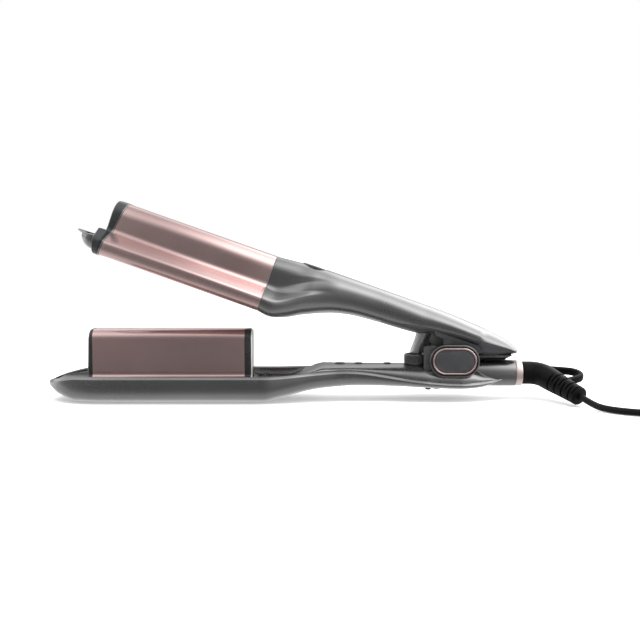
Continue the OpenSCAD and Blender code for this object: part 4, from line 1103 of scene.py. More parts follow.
@dataclass
class CordSet:
    """The swivelling elbow, the cord with its coil and tie, and the plug. In the row's millimetres."""

    cord_d: float = 4.5
    length: float = 1.8
    shift: float = 0.95
    coil_at: tuple[float, float] = (275.95, -39.0)
    cells: tuple[tuple[float, float], ...] = (
        (29.5, 2.25), (25.0, 2.25), (20.5, 2.25), (20.5, 6.75), (25.0, 6.75),
        (29.5, 6.75), (29.5, 11.25), (25.0, 11.25), (20.5, 11.25), (20.5, 15.75))
    tie_angle: float = 200.0
    tie_w: float = 8.0
    tie_t: float = 1.1
    tie_half: tuple[float, float] = (7.25, 8.95)
    spacing: float = 1.9
    turn_step: float = 6.0
    mid_r: float = 25.0
    mid_z: float = 9.0
    elbow_d: float = 16.0
    elbow_tip_d: float = 12.7
    elbow_bend: float = 62.0
    bend_r: float = 12.0
    elbow_neck: float = 5.7
    leg_l: float = 33.5
    elbow_gap: float = 0.4
    slot_from: float = 8.3
    slot_pitch: float = 3.05
    slot_deep: float = 1.25
    slots: int = 8
    tip_round: float = 1.6
    neck_round: float = 0.8
    elbow_turn: float = 72.0
    plug_at: Spot = (305.45, 3.1, 6.85)
    plug_half: float = 6.85
    relief_l: float = 12.4
    rib_pitch: float = 2.3
    pin_pitch: float = 19.0

    def route(self) -> np.ndarray:
        """Centre line of the cord, from the elbow's tip to the plug.

        The coil is a turn for each cell of radius and height. A turn slides to the next
        cell by a smooth step in a quarter turn before the lead comes in, and the last
        turn runs out over the top, comes down outside and humps over the lead.

        Returns:
            Points in the row's millimetres.
        """
        lead = np.array([
            [195.9, -34.4, 6.7], [198.4, -39, 5.3], [200.6, -43.4, 4], [203, -47.4, 3],
            [205.8, -51.4, 2.5], [209, -55.2, 2.3], [213, -59, 2.3], [218, -62.4, 2.3],
            [224, -65.2, 2.3], [231, -67.2, 2.3], [239, -68.3, 2.3], [248, -68.5, 2.3],
            [257.5, -68.5, 2.3], [266, -68.5, 2.28]])
        cells = np.array(self.cells)
        turn = np.arange(0, len(self.cells) * 360 - 360, self.turn_step)
        k = (turn // 360).astype(int)
        step = ease((turn % 360 - 275) / 75)[:, None]
        spot = cells[k] * (1 - step) + cells[np.minimum(k + 1, len(cells) - 1)] * step
        out = np.arange(0, 446, self.turn_step)
        r = 20.5 + 9.0 * ease(out / 150) + 4.8 * ease((out - 135) / 90)
        down = 15.75 - 13.5 * ease((out - 140) / 130)
        hump = 5.0 * ease(1 - np.abs(out - 338) / 58)
        spot = np.concatenate([spot, np.stack([r, down + hump], axis=1)])
        angle = np.radians(np.concatenate([turn, turn[-1] + self.turn_step + out]) - 90)
        from_tie = np.abs((np.degrees(angle) - self.tie_angle + 180) % 360 - 180)
        tied = np.arange(len(angle)) < len(turn) + 26
        squeeze = np.where(tied, 1 - 0.13 * ease(1 - from_tie / 28), 1)
        r = self.mid_r + (spot[:, 0] - self.mid_r) * squeeze
        z = self.mid_z + (spot[:, 1] - self.mid_z) * squeeze
        coil = np.stack([self.coil_at[0] + r * np.cos(angle), self.coil_at[1] + r * np.sin(angle), z], axis=1)
        tail = np.array([
            [308.3, -32, 2.25], [306.0, -24.5, 2.3], [304.8, -17.5, 2.8], [304.5, -11.5, 4.0],
            [304.5, -6, 5.4], [304.5, -1, 6.5], [304.5, 3.5, 6.8], [304.5, 8, 6.85]])
        aside = np.array([self.shift, 0, 0])
        return smooth_path(np.concatenate([lead + aside, coil, tail + aside]), self.spacing)

    def cord(self) -> bpy.types.Object:
        """Builds the cord itself, without declaring it."""
        path = self.route()
        t = np.linspace(0, 2 * math.pi, 14, endpoint=False)
        ring = self.cord_d / 2 * np.stack([np.cos(t), np.sin(t)], axis=1)
        shell = sweep(path, ring, np.array([0, 0, 1.0]))
        return on_cord("mains_cord", shell, SHEATH, ["cord_lead", "cord_coil", "cord_tail"])

    def tie(self) -> bpy.types.Object:
        """A flat band round the coil: a strip carried round a rounded box."""
        w, h = self.tie_half
        box = rounded_outline([(-w, -h, 2.5), (w, -h, 2.5), (w, h, 2.5), (-w, h, 2.5)], 6)
        normal = box - inset(box, 1.0)
        u, v = squircle(np.linspace(0, 2 * math.pi, 20, endpoint=False), np.array(5.0))
        across, proud = v * self.tie_w / 2, (u - 1) * self.tie_t / 2
        a = math.radians(self.tie_angle)
        up = np.array([0, 0, 1.0])
        out, along = np.array([math.cos(a), math.sin(a), 0]), np.array([-math.sin(a), math.cos(a), 0])
        flat = box[:, None] + normal[:, None] * proud[None, :, None]
        mid = np.array([self.coil_at[0], self.coil_at[1], self.mid_z]) + self.mid_r * out
        rings = mid + flat[..., :1] * out + flat[..., 1:] * up + across[None, :, None] * along
        return on_cord("coil_tie", skin(rings, closed=True), HEATPROOF, ["cord_tie"])

    def elbow_place(self, flat: np.ndarray, y: np.ndarray | float = 0.0) -> np.ndarray:
        """Turns points of the elbow's own plane about the swivel's axis.

        Args:
            flat: Places along the arm and heights over the axis.
            y: Places across the plane.

        Returns:
            Points in the lower arm's millimetres.
        """
        a = math.radians(self.elbow_turn)
        across = np.broadcast_to(y, flat[..., 1].shape)
        return np.stack([
            flat[..., 0], across * math.cos(a) + flat[..., 1] * math.sin(a),
            L.tube_h - across * math.sin(a) + flat[..., 1] * math.cos(a)], axis=-1)

    def elbow(self) -> bpy.types.Object:
        """Moulded elbow: a tapering tube round a bend, with ladder slots and a hanging loop.

        The radius falls from the neck to the tip; each slot takes a raised-cosine bite,
        and slots alternate between the two pairs of sides.

        Returns:
            The object.
        """
        neck_l = self.elbow_neck - self.elbow_gap
        bend = math.radians(self.elbow_bend)
        arc_l = self.bend_r * bend
        s = np.linspace(0, neck_l + arc_l + self.leg_l, 620)
        on_arc = np.clip((s - neck_l) / arc_l, 0, 1) * bend
        leg = np.clip(s - neck_l - arc_l, 0, None)
        x = L.total_l + self.elbow_gap + np.minimum(s, neck_l)
        x = x + self.bend_r * np.sin(on_arc) + leg * math.cos(bend)
        z = -self.bend_r * (1 - np.cos(on_arc)) - leg * math.sin(bend)
        t = np.linspace(0, 2 * math.pi, 72, endpoint=False)
        base = self.elbow_d / 2 + (self.elbow_tip_d - self.elbow_d) / 2 * ease(leg / self.leg_l) ** 0.9
        slot = (leg - self.slot_from) / self.slot_pitch
        which = np.floor(slot).astype(int)
        bite = np.clip(1 - np.abs(slot - which - 0.5) / 0.26, 0, 1)
        bite = ease(bite * 1.6) * ((which >= 0) & (which < self.slots))
        side = np.where((which % 2 == 0)[:, None], np.abs(np.cos(t))[None], np.abs(np.sin(t))[None])
        cut = self.slot_deep * bite[:, None] * ease((side - 0.3) / 0.3)
        tip, lip = self.tip_round, self.neck_round
        end = np.sqrt(np.clip(1 - (1 - np.clip((self.leg_l - leg) / tip, 0, 1)) ** 2, 0.0, 1))
        front = np.sqrt(np.clip(1 - (1 - np.clip(s / lip, 0, 1)) ** 2, 0.0, 1))
        radius = (base - tip * (1 - end) - lip * (1 - front))[:, None] - cut
        rise, aside = radius * np.cos(t), radius * np.sin(t)
        lean = on_arc[:, None]
        flat = np.stack([x[:, None] + np.sin(lean) * rise, z[:, None] + np.cos(lean) * rise], axis=-1)
        neck = turned([(0, -8), (6.2, -8), (6.2, 2), (0, 2)], (L.total_l, 0, L.tube_h), 0.3, axis=0)
        shell = skin(self.elbow_place(flat, aside)) + neck + self.loop()
        return on_cord("elbow_relief", shell, RUBBER, ["cord_elbow"], place=Place.LOWER, sharp=50)

    def loop(self) -> Shell:
        """Hanging loop: a rounded strap swept along a curve in the elbow's plane."""
        b = L.total_l + self.elbow_neck
        line = smooth_path(np.array([
            [b + 2.0, 5.2], [b + 7.5, 5.4], [b + 16, 4.4], [b + 25.5, 2.8], [b + 30.5, 1.5], [b + 33.8, -1.2],
            [b + 35.1, -4.6], [b + 34.2, -7.8], [b + 31, -10.2], [b + 25, -13.2], [b + 16.5, -17.6]]), 0.7)
        way = np.gradient(line, axis=0)
        way /= np.linalg.norm(way, axis=1, keepdims=True)
        out = np.stack([-way[:, 1], way[:, 0]], axis=1)
        u, v = squircle(np.linspace(0, 2 * math.pi, 28, endpoint=False), np.array(3.0))
        ends = np.minimum(np.arange(len(line)), np.arange(len(line))[::-1]) * 0.7
        thick = 1.9 + 0.9 * (1 - ease((ends - 4) / 7))
        flat = line[:, None] + out[:, None] * (thick[:, None] * u)[..., None]
        return skin(self.elbow_place(flat, np.broadcast_to(2.7 * v, flat.shape[:2])))

    def plug(self) -> bpy.types.Object:
        """Flat two-pin plug: a rounded outline with finger grips, and a ribbed relief."""
        body = rounded_outline([
            (-5.5, 12, 1.2), (5.5, 12, 1.2), (12.5, 24, 4), (17.5, 35.8, 4), (17.5, 45, 2.4),
            (-17.5, 45, 2.4), (-17.5, 35.8, 4), (-12.5, 24, 4)], 9)
        shell = prism(body, -self.plug_half, self.plug_half, 3.0, 3.0, axis=2, steps=7)
        s = np.linspace(0, self.relief_l, 110)
        taper = 3.55 + 1.45 * s / self.relief_l
        wave = np.clip(np.cos(s * 2 * math.pi / self.rib_pitch) * 0.5 + 0.1, 0, 1)
        ribs = taper - 0.55 * ease(wave * 1.6) * (s < 10.8)
        shell = shell + revolve([(0.0, 0.0)] + list(zip(ribs, s)) + [(0.0, self.relief_l)], axis=1, n=48)
        t = np.linspace(0, 2 * math.pi, 10, endpoint=False)
        x = np.linspace(-7.5, 7.5, 24)
        fade = np.sqrt(np.clip(1 - np.linspace(-1, 1, 24) ** 6, 0.02, 1))[:, None, None]
        ring = 0.65 * fade * np.stack([np.cos(t), 0.8 * np.sin(t)], axis=1)
        for side in (-1, 1):
            for place in range(4):
                line = np.stack([x, np.full(24, 26.0 + 3 * place), np.full(24, side * 6.32)], axis=1)
                shell = shell + sweep(line, ring, np.array([0, 0, 1.0]))
        return on_cord("mains_plug", moved(shell, *self.plug_at), RUBBER, ["plug_body"])

    def pins(self) -> bpy.types.Object:
        """Two round steel pins with rounded tips."""
        x, y, z = self.plug_at
        profile = [(0, -1), (1.8, -1), (1.8, 10), (2.0, 10.2), (2.0, 18.2), (1.2, 19), (0, 19)]
        left, right = (
            turned(profile, (x + side * self.pin_pitch / 2, y + 45, z), 0.35, axis=1, n=40) for side in (-1, 1))
        return on_cord("plug_pins_turned", left + right, STEEL, ["plug_pins"])

    def build(self) -> None:
        cord, plug, pins, tie = self.cord(), self.plug(), self.pins(), self.tie()
        self.elbow()
        path = self.route() / 1000
        length = float(np.sum(np.linalg.norm(np.diff(path, axis=0), axis=1)))
        LOG.info("cord: %.3f m along its route", length)


# ---------------------------------------------------------------- lower arm


@dataclass
class LowerArm:
    """Tray, floor, handle cover, hinge ears, buttons, collar, feet and deck plugs."""

    nose_l: float = 40.0
    nose_h: float = 13.0
    floor_h: float = 14.2
    waist_w: float = 32.0
    lip: float = 1.7
    stadium: tuple[float, float] = (33.9, 22.1)
    cone_at: float = 26.0
    cone_end: float = 33.5
    well_r: float = 2.9
    buttons: tuple[tuple[str, Body, float, float], ...] = (
        ("power_button", Body.POWER, 0.921, 7.4),
        ("hotter_button", Body.HOTTER, 0.767, 5.8),
        ("cooler_button", Body.COOLER, 0.529, 5.3))

    def __post_init__(self) -> None:
        """Works out the keys of the long curves from the shared places."""
        h, e, g, r = L.hinge_x, L.ridge_end, L.handle_x, L.rim_h
        self.tip_x = h + 34.6
        self.rim_keys = [(0, self.nose_h), (8, self.nose_h + 2.9), (26, r), (e + 8, r), (g + 10, r + 2.6),
                         (h - 23, r - 3.6), (h + 4, r - 5.3), (self.tip_x, r - 4.1)]
        self.keel_keys = [(0, self.nose_h - 0.8), (3, self.nose_h - 4.8), (9, 3.4), (22, -0.6), (e + 8, -0.6),
                          (e + 20, 2), (g - 7, 7.5), (g + 21, 9.4), (h - 35, 8.8), (h + 6, 7.4), (h + 20, 8.2),
                          (h + 28, 10.6), (self.tip_x, r - 4.7)]
        self.side_keys = [(self.nose_l, L.half_w), (e + 8, L.half_w), (e + 24, L.half_w - 2.8),
                          (g - 10, self.waist_w / 2 + 3.4), (g + 6, self.waist_w / 2 + 0.6),
                          (g + 24, self.waist_w / 2), (h - 36, self.waist_w / 2 + 1.2),
                          (h - 17, L.ear_w / 2 + 0.3), (h + 4, L.ear_w / 2 + 0.3), (h + 15, L.ear_w / 2 - 1.6),
                          (h + 26, L.tube_r + 2.6), (self.tip_x, L.tube_r - 0.2)]
        self.top_keys = [(e, self.floor_h), (e + 4, self.floor_h - 1.6), (L.ramp_x, self.floor_h - 1.4),
                         (g - 14, r + 2.4), (g - 4, L.handle_h), (h - 18, L.handle_h),
                         (h + 10, L.handle_h - 0.8), (h + 26, L.tube_h)]
        self.crown_keys = [(e, 5), (L.ramp_x, 5), (g, 2.5), (h + 26, 2)]
        self.box_keys = [(0, 2.2), (self.nose_l, 3.2), (e + 8, 3.2), (g, 2.3), (self.tip_x, 2)]

    def side(self, x: np.ndarray) -> np.ndarray:
        """Half width: a quarter ellipse at the nose, then the side keys."""
        nose = L.half_w * np.sqrt(np.clip(1 - ((self.nose_l - x) / self.nose_l) ** 2, 0, 1))
        return np.where(x < self.nose_l, np.maximum(nose, 0.9), glide(self.side_keys, x))

    def top(self, x: np.ndarray) -> np.ndarray:
        """Height of the floor and of the handle's top along the middle."""
        floor = np.minimum(self.floor_h, glide(self.rim_keys, x) - 1.3)
        return np.where(x < L.ridge_end, floor, glide(self.top_keys, x))

    def stations(self, first: float, last: float, n: int) -> np.ndarray:
        """Places along the arm, close together at the nose by a squared step."""
        t = np.linspace(0, 1, n)
        nose = first + (self.nose_l - first) * t[: n // 3] ** 2 / t[n // 3 - 1] ** 2
        rest = np.linspace(self.nose_l, last, n - n // 3 + 1)[1:]
        return np.concatenate([nose, rest]) if first < self.nose_l else np.linspace(first, last, n)

    def tray_shell(self) -> None:
        """Lower moulding: a superellipse below a slanted lip, with an inner wall.

        At each place the outside runs down from the lip along a superellipse whose half
        axes are the half width and the depth, cut off flat at height zero. The inner wall
        ends out of sight, inside the floor's thickness.
        """
        x = self.stations(0.0, self.tip_x, 330)[:, None]
        w, rim, keel = self.side(x), glide(self.rim_keys, x), glide(self.keel_keys, x)
        depth = rim - keel
        lip = np.minimum(self.lip, np.minimum(w * 0.35, depth * 0.4))
        u, v = squircle(np.radians(np.linspace(0, -180, 121))[None], glide(self.box_keys, x))
        under = rim - 1.15 * lip
        below = np.where(x < L.handle_x, self.top(x) - 1.0, rim)
        hidden = np.maximum(np.minimum(rim - np.minimum(3.0, 0.5 * depth), below), keel + 0.35 * depth)
        lip_in, lip_down = np.array([1.12, 0.95, 0.75, 0.14, 0.04]), np.array([0.1, 0.02, 0.14, 0.9, 1.02])
        wall = np.maximum(w - L.wall, 0.2)
        right_y = row(wall, wall, w - lip * lip_in)
        right_z = row(hidden, rim - 0.35 * lip, rim - lip * lip_down)
        y = row(right_y, w * u, -right_y[:, ::-1])
        z = row(right_z, np.maximum(under + (under - keel) * v, 0), right_z[:, ::-1])
        holes = []
        for px, py in ((L.handle_x - 5, 0.0), (L.hinge_x - 11, 10.0), (L.hinge_x - 11, -10.0)):
            high = float(glide(self.keel_keys, px)) + 0.6
            well = [(0, -4), (self.well_r, -4), (self.well_r, high), (0, high)]
            holes.append(turned(well, (px, py, 0), n=40))
        on_lower("tray_moulding", loft(x, y, z), GUNMETAL, ["lower_shell"], cutters=holes)

    def deck(self) -> None:
        """Tray floor: a dish that is flat in the middle and turns up at its edge.

        The height over the rim line falls by the depth times one minus the share of the
        half width to the crown's power, all to the inverse power.
        """
        x = self.stations(5.0, L.handle_x - 11.9, 210)[:, None]
        out = self.side(x) - L.wall - 0.02
        edge = out - np.minimum(1.2, out / 4)
        u = np.sin(np.radians(np.linspace(-90, 90, 121)))[None]
        crown = np.where(x < L.ridge_end, 5.0, glide(self.crown_keys, x))
        rim, top = glide(self.rim_keys, x), self.top(x)
        drop = (1 - np.abs(u) ** crown) ** (1 / crown)
        y = row(-out, edge * u, out)
        z = row(rim - 0.25, rim - 0.9 + (top - rim + 0.9) * drop, rim - 0.25)
        under = np.minimum(z, top) - 1.8
        on_lower("tray_floor", loft(x, row(y, y[:, ::-1]), row(z, under[:, ::-1])), GUNMETAL, ["tray_deck"])

    def cover(self) -> None:
        """Upper handle moulding: a crowned section that swells at the ears and ends in a tube."""
        h, tall = L.hinge_x, L.handle_h
        x = np.linspace(L.handle_x - 12, h + self.cone_end, 260)[:, None]
        w = self.side(x) - 1.15
        rim = glide(self.rim_keys, x) - 0.25
        cone = rim + (L.tube_h - rim) * np.clip((h + self.cone_end + 0.1 - x) / 7.6, 0, 1)
        high = np.where(x < h + self.cone_at, self.top(x), cone)
        crown = np.where(x < h + self.cone_at, glide(self.crown_keys, x), 2.0)
        u, v = squircle(np.radians(np.linspace(0, 180, 97))[None], crown)
        y, z = row(w * 0.97, w * u, -w * 0.97), row(rim - 0.9, rim + (high - rim) * v, rim - 0.9)
        holes = []
        bores = [(self.button_x(share), d / 2 + 0.3, 2.2) for _, _, share, d in self.buttons]
        for bx, r, deep in bores + [(h - L.dial_gap, 5.8, 3.4)]:
            holes.append(turned([(0, -deep), (r, -deep), (r, 6), (0, 6)], (bx, 0, tall), n=48))
        a, b = h - 17.9, h + 16
        holes.append(slab([(a, 20.3), (b, 20.3), (b, 50), (a, 50)], 14.0, 0.01))
        on_lower("handle_moulding", loft(x, y, z), GUNMETAL, ["handle_cover"], cutters=holes)
        r = L.tube_r
        ends = [(0, h + 12), (r, h + 12), (r, L.arm_l), (0, L.arm_l)]
        on_lower("handle_tube", turned(ends, (0, 0, L.tube_h), 0.35, axis=0, n=96), GUNMETAL)

    def button_x(self, share: float) -> float:
        """Place of a button from its share of the handle."""
        return L.hinge_x - share * (L.hinge_x - L.handle_x)

    def button_caps(self) -> None:
        """Three soft-edged push buttons, dished in the middle."""
        for name, body, share, d in self.buttons:
            r, top = d / 2, L.handle_h + 0.7
            flange = L.handle_h - L.wall - 0.3
            profile = [
                (0, flange - 1.2), (r + 0.8, flange - 1.2), (r + 0.8, flange), (r, flange), (r, top - 0.1),
                (r * 0.72, top), (r * 0.4, top - 0.16), (0, top - 0.2)]
            shell = turned(profile, (self.button_x(share), 0, 0), 0.35, n=72)
            on_lower(name + "_cap", shell, GRAPHITE, [name], body=body)

    def boss(self, profile: Sequence[tuple[float, float]], side: int, n: int = 160) -> Shell:
        """Profile of inset and reach carried round the hinge's stadium outline.

        Args:
            profile: Inset from the stadium's edge and distance from the middle plane.
            side: 1 for the left and -1 for the right.
            n: Points round.

        Returns:
            The closed surface.
        """
        length, high = self.stadium
        p = np.asarray(profile, float)
        t = np.linspace(0, 2 * math.pi, n, endpoint=False)
        r = high / 2 - p[:, :1]
        shift = np.where(np.cos(t) >= 0, 1.0, -1.0) * (length - high) / 2
        x = L.hinge_x + shift + r * np.cos(t)
        z = L.hinge_h + r * np.sin(t)
        y = np.broadcast_to(side * p[:, 1:], x.shape)
        return skin(np.stack([x, y, z], axis=-1))

    def hinge(self) -> None:
        """Ears with a groove lined in black as painted shade, the rose ring, the dark panel and a guard wall,
        on both sides.

        Every profile is inset and reach, and its reaches are counted from the ear's face.
        """
        mid = 10.9
        parts = (
            ("ear_", GUNMETAL, None, [
                (0, -5.5), (0, -0.5), (0.12, -0.18), (0.42, 0), (0.7, 0), (0.82, -0.12), (0.9, -1.6), (4, -1.6),
                (9, -1.6), (mid, -1.6)]),
            # Black lining down in the groove between the ear's rim and the rose ring: painted shade for the
            # recess.
            ("ear_groove_shade_", HEATPROOF, None, [
                (0.86, -2.2), (0.86, -0.22), (0.95, -0.3), (1.0, -1.2), (mid, -1.2), (mid, -2.2)]),
            ("ear_ring_", ROSE_TRIM, "hinge_trim_", [
                (2.0, -1.65), (2.0, 0.1), (2.1, 0.35), (2.3, 0.53), (2.6, 0.6), (2.9, 0.53), (3.1, 0.35),
                (3.2, 0.1), (3.2, -1.65)]),
            ("ear_panel_", GRAPHITE, "hinge_cover_", [
                (3.42, -1.65), (3.42, -0.25), (3.6, -0.05), (4.0, 0.02), (7, 0.1), (mid, 0.1)]))
        h, face = L.hinge_x, L.ear_w / 2
        wall = np.array([
            [h - 20.2, 19.6], [h - 10.2, 19.6], [h - 10.2, 33.5],
            [h - 12.6, 38.4], [h - 19, 37.9], [h - 20.2, 36.8]])
        for side, word in ((1, "left"), (-1, "right")):
            near, far = sorted((side * 9.2, side * 13.2))
            on_lower("post_guard_" + word, prism(wall, near, far, 0.5, 0.5, axis=1), GRAPHITE)
            for name, finish, stands, profile in parts:
                shell = self.boss([(deep, face + reach) for deep, reach in profile], side)
                on_lower(name + word, shell, finish, [stands + word] if stands else [])

    def small_parts(self) -> None:
        """Collar, feet and deck plugs."""
        a, b = L.arm_l + 0.05, L.total_l
        ring = rod([(5.0, a), (L.tube_r, a), (L.tube_r, b), (5.0, b)], 0.7, 6)
        collar = turned([(6.3, a)] + ring[1:-1] + [(6.3, b)], (0, 0, L.tube_h), axis=0, n=128)
        on_lower("swivel_collar", collar, PALE_RING, ["collar_ring"])
        x = L.hinge_x - 15.6
        keel = float(glide(self.keel_keys, x))
        ends = [(0, -2.1), (1.7, -2.1), (2.3, -0.6), (2.3, 0.6), (0, 0.6)]
        nub = turned([(r, keel + z) for r, z in ends], (x, 0, 0), 0.5, n=40)
        pad = turned([(0, 0.0), (2.2, 0.0), (2.2, 1.0), (0, 1.0)], (30, 0, 0), 0.2, n=40)
        on_lower("rubber_feet", nub + pad, RUBBER, ["foot_pads"])
        big, small = (
            turned([(0, 0), (r, 0), (r, 1.2), (0, 1.25)], (px, 20.5, 13.0), 0.25, n=32)
            for px, r in ((146.2, 1.7), (152.2, 1.2)))
        on_lower("deck_plugs", big + small, HEATPROOF)

    def build(self) -> None:
        """Builds the whole lower arm."""
        self.tray_shell()
        self.deck()
        self.cover()
        self.button_caps()
        self.hinge()
        self.small_parts()


# ---------------------------------------------------------------- heated ridge


@dataclass
class Ridge:
    """The tall heated ridge with its two end caps."""

    thick: float = 19.0
    high: float = 49.0
    top_r: float = 7.0
    floor: float = 14.3
    foot: float = 3.0
    front_cap: float = 3.8
    rear_cap: float = 4.5

    def section(self, proud: float) -> np.ndarray:
        """Outline with a round top and a flared foot.

        Args:
            proud: How far it stands outside the plate.

        Returns:
            Closed ring of Y and Z.
        """
        half = self.thick / 2
        foot_z = self.floor + 1.6 + self.foot
        curve = np.concatenate([
            [[0, self.high]],
            arc(half - self.top_r, self.high - self.top_r, self.top_r, 90, 0, 28),
            arc(half + self.foot, foot_z, self.foot, 180, 270, 14),
            [[half + 3.4, self.floor + 1.5], [half + 3.4, self.floor - 1.0], [0, self.floor - 1.0]]])
        return inset(mirror_ring(curve), -proud)

    def build(self) -> None:
        """Builds the plate and its caps."""
        a, b = L.ridge_x, L.ridge_end
        plate = prism(self.section(0), a + self.front_cap + 0.08, b - self.rear_cap - 0.08, 0.12, 0.12)
        on_lower("ridge_plate", plate, ROSE_PLATE, ["lower_plate"])
        lean = lambda p: a + 1.1 * np.clip((p[:, 1] - self.floor) / (self.high - self.floor), 0, 1)
        front = prism(self.section(0.12), lean, a + self.front_cap, 1.9, 0.15, steps=8)
        on_lower("ridge_nose", front, HEATPROOF, ["ridge_front_cap"])
        rear = prism(self.section(0.12), b - self.rear_cap, b, 0.15, 1.0, steps=8)
        on_lower("ridge_heel", rear, HEATPROOF, ["ridge_rear_cap"])
        # Pale sheet just behind the rear cap: painted highlight for the thin white line at the cap's back edge.
        sheet = prism(self.section(-0.35), b - 0.05, b + 0.75, 0.1, 0.15)
        on_lower("ridge_highlight_sheet", sheet, NYLON)
        back = prism(self.section(-1.3), b + 0.3, b + 0.95, 0.1, 0.2)
        on_lower("ridge_backing", back, HEATPROOF)


# ---------------------------------------------------------------- upper jaw


@dataclass
class UpperJaw:
    """Bell-shaped heated jaw: cover, plate, front cap and cool tip."""

    crown_h: float = 54.5
    crown_w: float = 15.0
    crown_r: float = 10.0
    channel_w: float = 11.5
    channel_h: float = 50.3
    lobe_r: float = 8.25
    lobe_z: float = 24.6
    valley_r: float = 5.0
    shoulder_r: float = 3.5
    valley_end: float = 239.5
    cover_t: float = 1.5
    tip_l: float = 18.8
    tip_w: float = 25.0
    nose_out: float = 2.3
    bowl_deep: float = 8.2
    tip_wall: float = 1.7

    @property
    def nose_top(self) -> float:
        """Height at which the front cap's lower part ends."""
        return self.lobe_z + 8.0

    @property
    def bowl_z(self) -> float:
        """Height of the bowl's widest section."""
        return self.lobe_z + 0.9

    @property
    def low(self) -> float:
        """Height of the lobes' bottom."""
        return self.lobe_z - self.lobe_r

    @property
    def front(self) -> float:
        """Place of the front cap's lowest point."""
        return L.ridge_x - 2.2

    def outside(self, d: float) -> np.ndarray:
        """Right half of the outside, crown to the lobe's widest point, inset by d."""
        return np.concatenate([
            [[0, self.crown_h - d]],
            arc(self.crown_w - self.crown_r, self.crown_h - self.crown_r, self.crown_r - d, 90, 0, 26),
            arc(self.crown_w + self.valley_r, self.lobe_z + 12.2, self.valley_r + d, 180, self.valley_end, 16),
            arc(L.half_w - self.shoulder_r, self.lobe_z, self.shoulder_r - d, self.valley_end - 180, 0, 12)])

    def channel(self, d: float) -> np.ndarray:
        """Right half of the inside, lobe's widest point to the roof's middle, inset by d."""
        return np.concatenate([
            arc(L.half_w - self.lobe_r, self.lobe_z, self.lobe_r - d, 0, -180, 36),
            arc(self.channel_w - 6.5, self.channel_h - 6.5, 6.5 + d, 0, 90, 18),
            [[0, self.channel_h + d]]])

    def leaning(self, low_x: float, top_x: float) -> Callable[[np.ndarray], np.ndarray]:
        """A slanted end plane, from low_x at the lobes' bottom to top_x at the crown."""
        return lambda p: low_x + (top_x - low_x) * (p[:, 1] - self.low) / (self.crown_h - self.low)

    @staticmethod
    def sheet(outer: np.ndarray, inner: np.ndarray) -> np.ndarray:
        """Closed ring of a folded sheet from the right half of its two faces.

        Args:
            outer: One face, from the middle plane outwards.
            inner: The other face, likewise.

        Returns:
            The ring.
        """
        flip = np.array([-1.0, 1.0])
        return np.concatenate([outer[:0:-1] * flip, outer, inner[::-1], inner[1:] * flip])

    def plates(self) -> None:
        """The bell's two pressed sheets, butted at the lobes' widest points."""
        start = self.leaning(self.front + 4.1, self.front + 9.8)
        end = L.housing_x - 0.1
        outer, inner = self.outside(0), self.outside(self.cover_t)
        cover = prism(self.sheet(outer, inner), start, end, 0.12, 0.12, steps=3)
        on_upper("bell_cover", cover, ROSE_PLATE, ["jaw_cover"])
        face, back = self.channel(0)[::-1], self.channel(1.5)[::-1]
        plate = prism(self.sheet(face, back), start, end, 0.12, 0.12, steps=3)
        on_upper("bell_plate", plate, ROSE_PLATE, ["upper_plate"])

    def nose_front(self, z: np.ndarray | float) -> np.ndarray | float:
        """Place of the jutting lower part's front plane at a height."""
        return self.front - self.nose_out * (z - self.low) / (self.nose_top - self.low)

    def cap(self) -> None:
        """Front cap with the bell's section, whose part below the valley juts out."""
        out, chan = self.outside(0), self.channel(0)
        flip = np.array([-1.0, 1.0])
        ring = inset(np.concatenate([out[:0:-1] * flip, out, chan[1:], (chan[1:-1] * flip)[::-1]]), -0.28)
        back = self.leaning(self.front + 4.0, self.front + 9.7)
        shell = prism(ring, self.front + 2.7, back, 1.2, 0.25, steps=8)
        # Thin steel ring at the cap's rear edge, put in for the bright line there: painted highlight.
        line = prism(inset(ring, 0.02), lambda p: back(p) + 0.3, lambda p: back(p) + 0.62, 0.05, 0.05)
        # Black sheet just behind the cap's rear edge: painted shade for the gap between the cap and the plate.
        shade = prism(inset(ring, 0.16), lambda p: back(p) - 0.1, lambda p: back(p) + 1.0, 0.05, 0.05)
        on_upper("bell_highlight_bead", line, STEEL)
        on_upper("bell_gap_shade", shade, HEATPROOF)
        level = self.nose_top + 0.5
        foot = out[out[:, 1] < level]
        edge = self.crown_w + self.valley_r - math.sqrt(self.valley_r**2 - (self.lobe_z + 12.2 - level) ** 2)
        inner = chan[(chan[:, 1] < level) & (chan[:, 0] < L.half_w)]
        lobe = np.concatenate([[[edge, level]], foot, inner[1:], [[self.channel_w, level]]])
        lobe = inset(lobe, -0.28)
        back_at = lambda p: np.minimum(back(p), self.front + 6.0)
        for side in (1.0, -1.0):
            half = lobe * np.array([side, 1.0])
            shell = shell + prism(half, lambda p: self.nose_front(p[:, 1]), back_at, 1.1, 0.1, steps=7)
        on_upper("bell_front", shell, HEATPROOF, ["jaw_front_cap"])

    def bowl(self, deep: float, top: float) -> Shell:
        """Half ellipsoid drawn out to the cap, cut off level at its top.

        Args:
            deep: Inset from the outside.
            top: Height of the cut over the bowl's middle.

        Returns:
            The closed surface.
        """
        mid, half = self.front - 0.27 * self.tip_l, self.tip_w / 2 - 0.6 - deep
        long, down = self.tip_l / 2 + 0.8 - deep, self.bowl_deep + 0.5 - deep
        end = self.front - (1.0 if deep == 0 else -4.0)
        t = np.linspace(0.02, math.pi / 2, 40)
        x = np.concatenate([mid - long * np.cos(t), np.linspace(mid + 0.3, end, 12)])[:, None]
        share = np.concatenate([np.sin(t), np.ones(12)])[:, None]
        u, v = squircle(np.radians(np.linspace(180, 360, 61))[None], np.array(2.15))
        y, z = half * share * u, self.bowl_z + down * share * v
        lid = np.full_like(x, self.bowl_z + top)
        return loft(x, row(y, y[:, -1:], y[:, :1]), row(z, lid, lid))

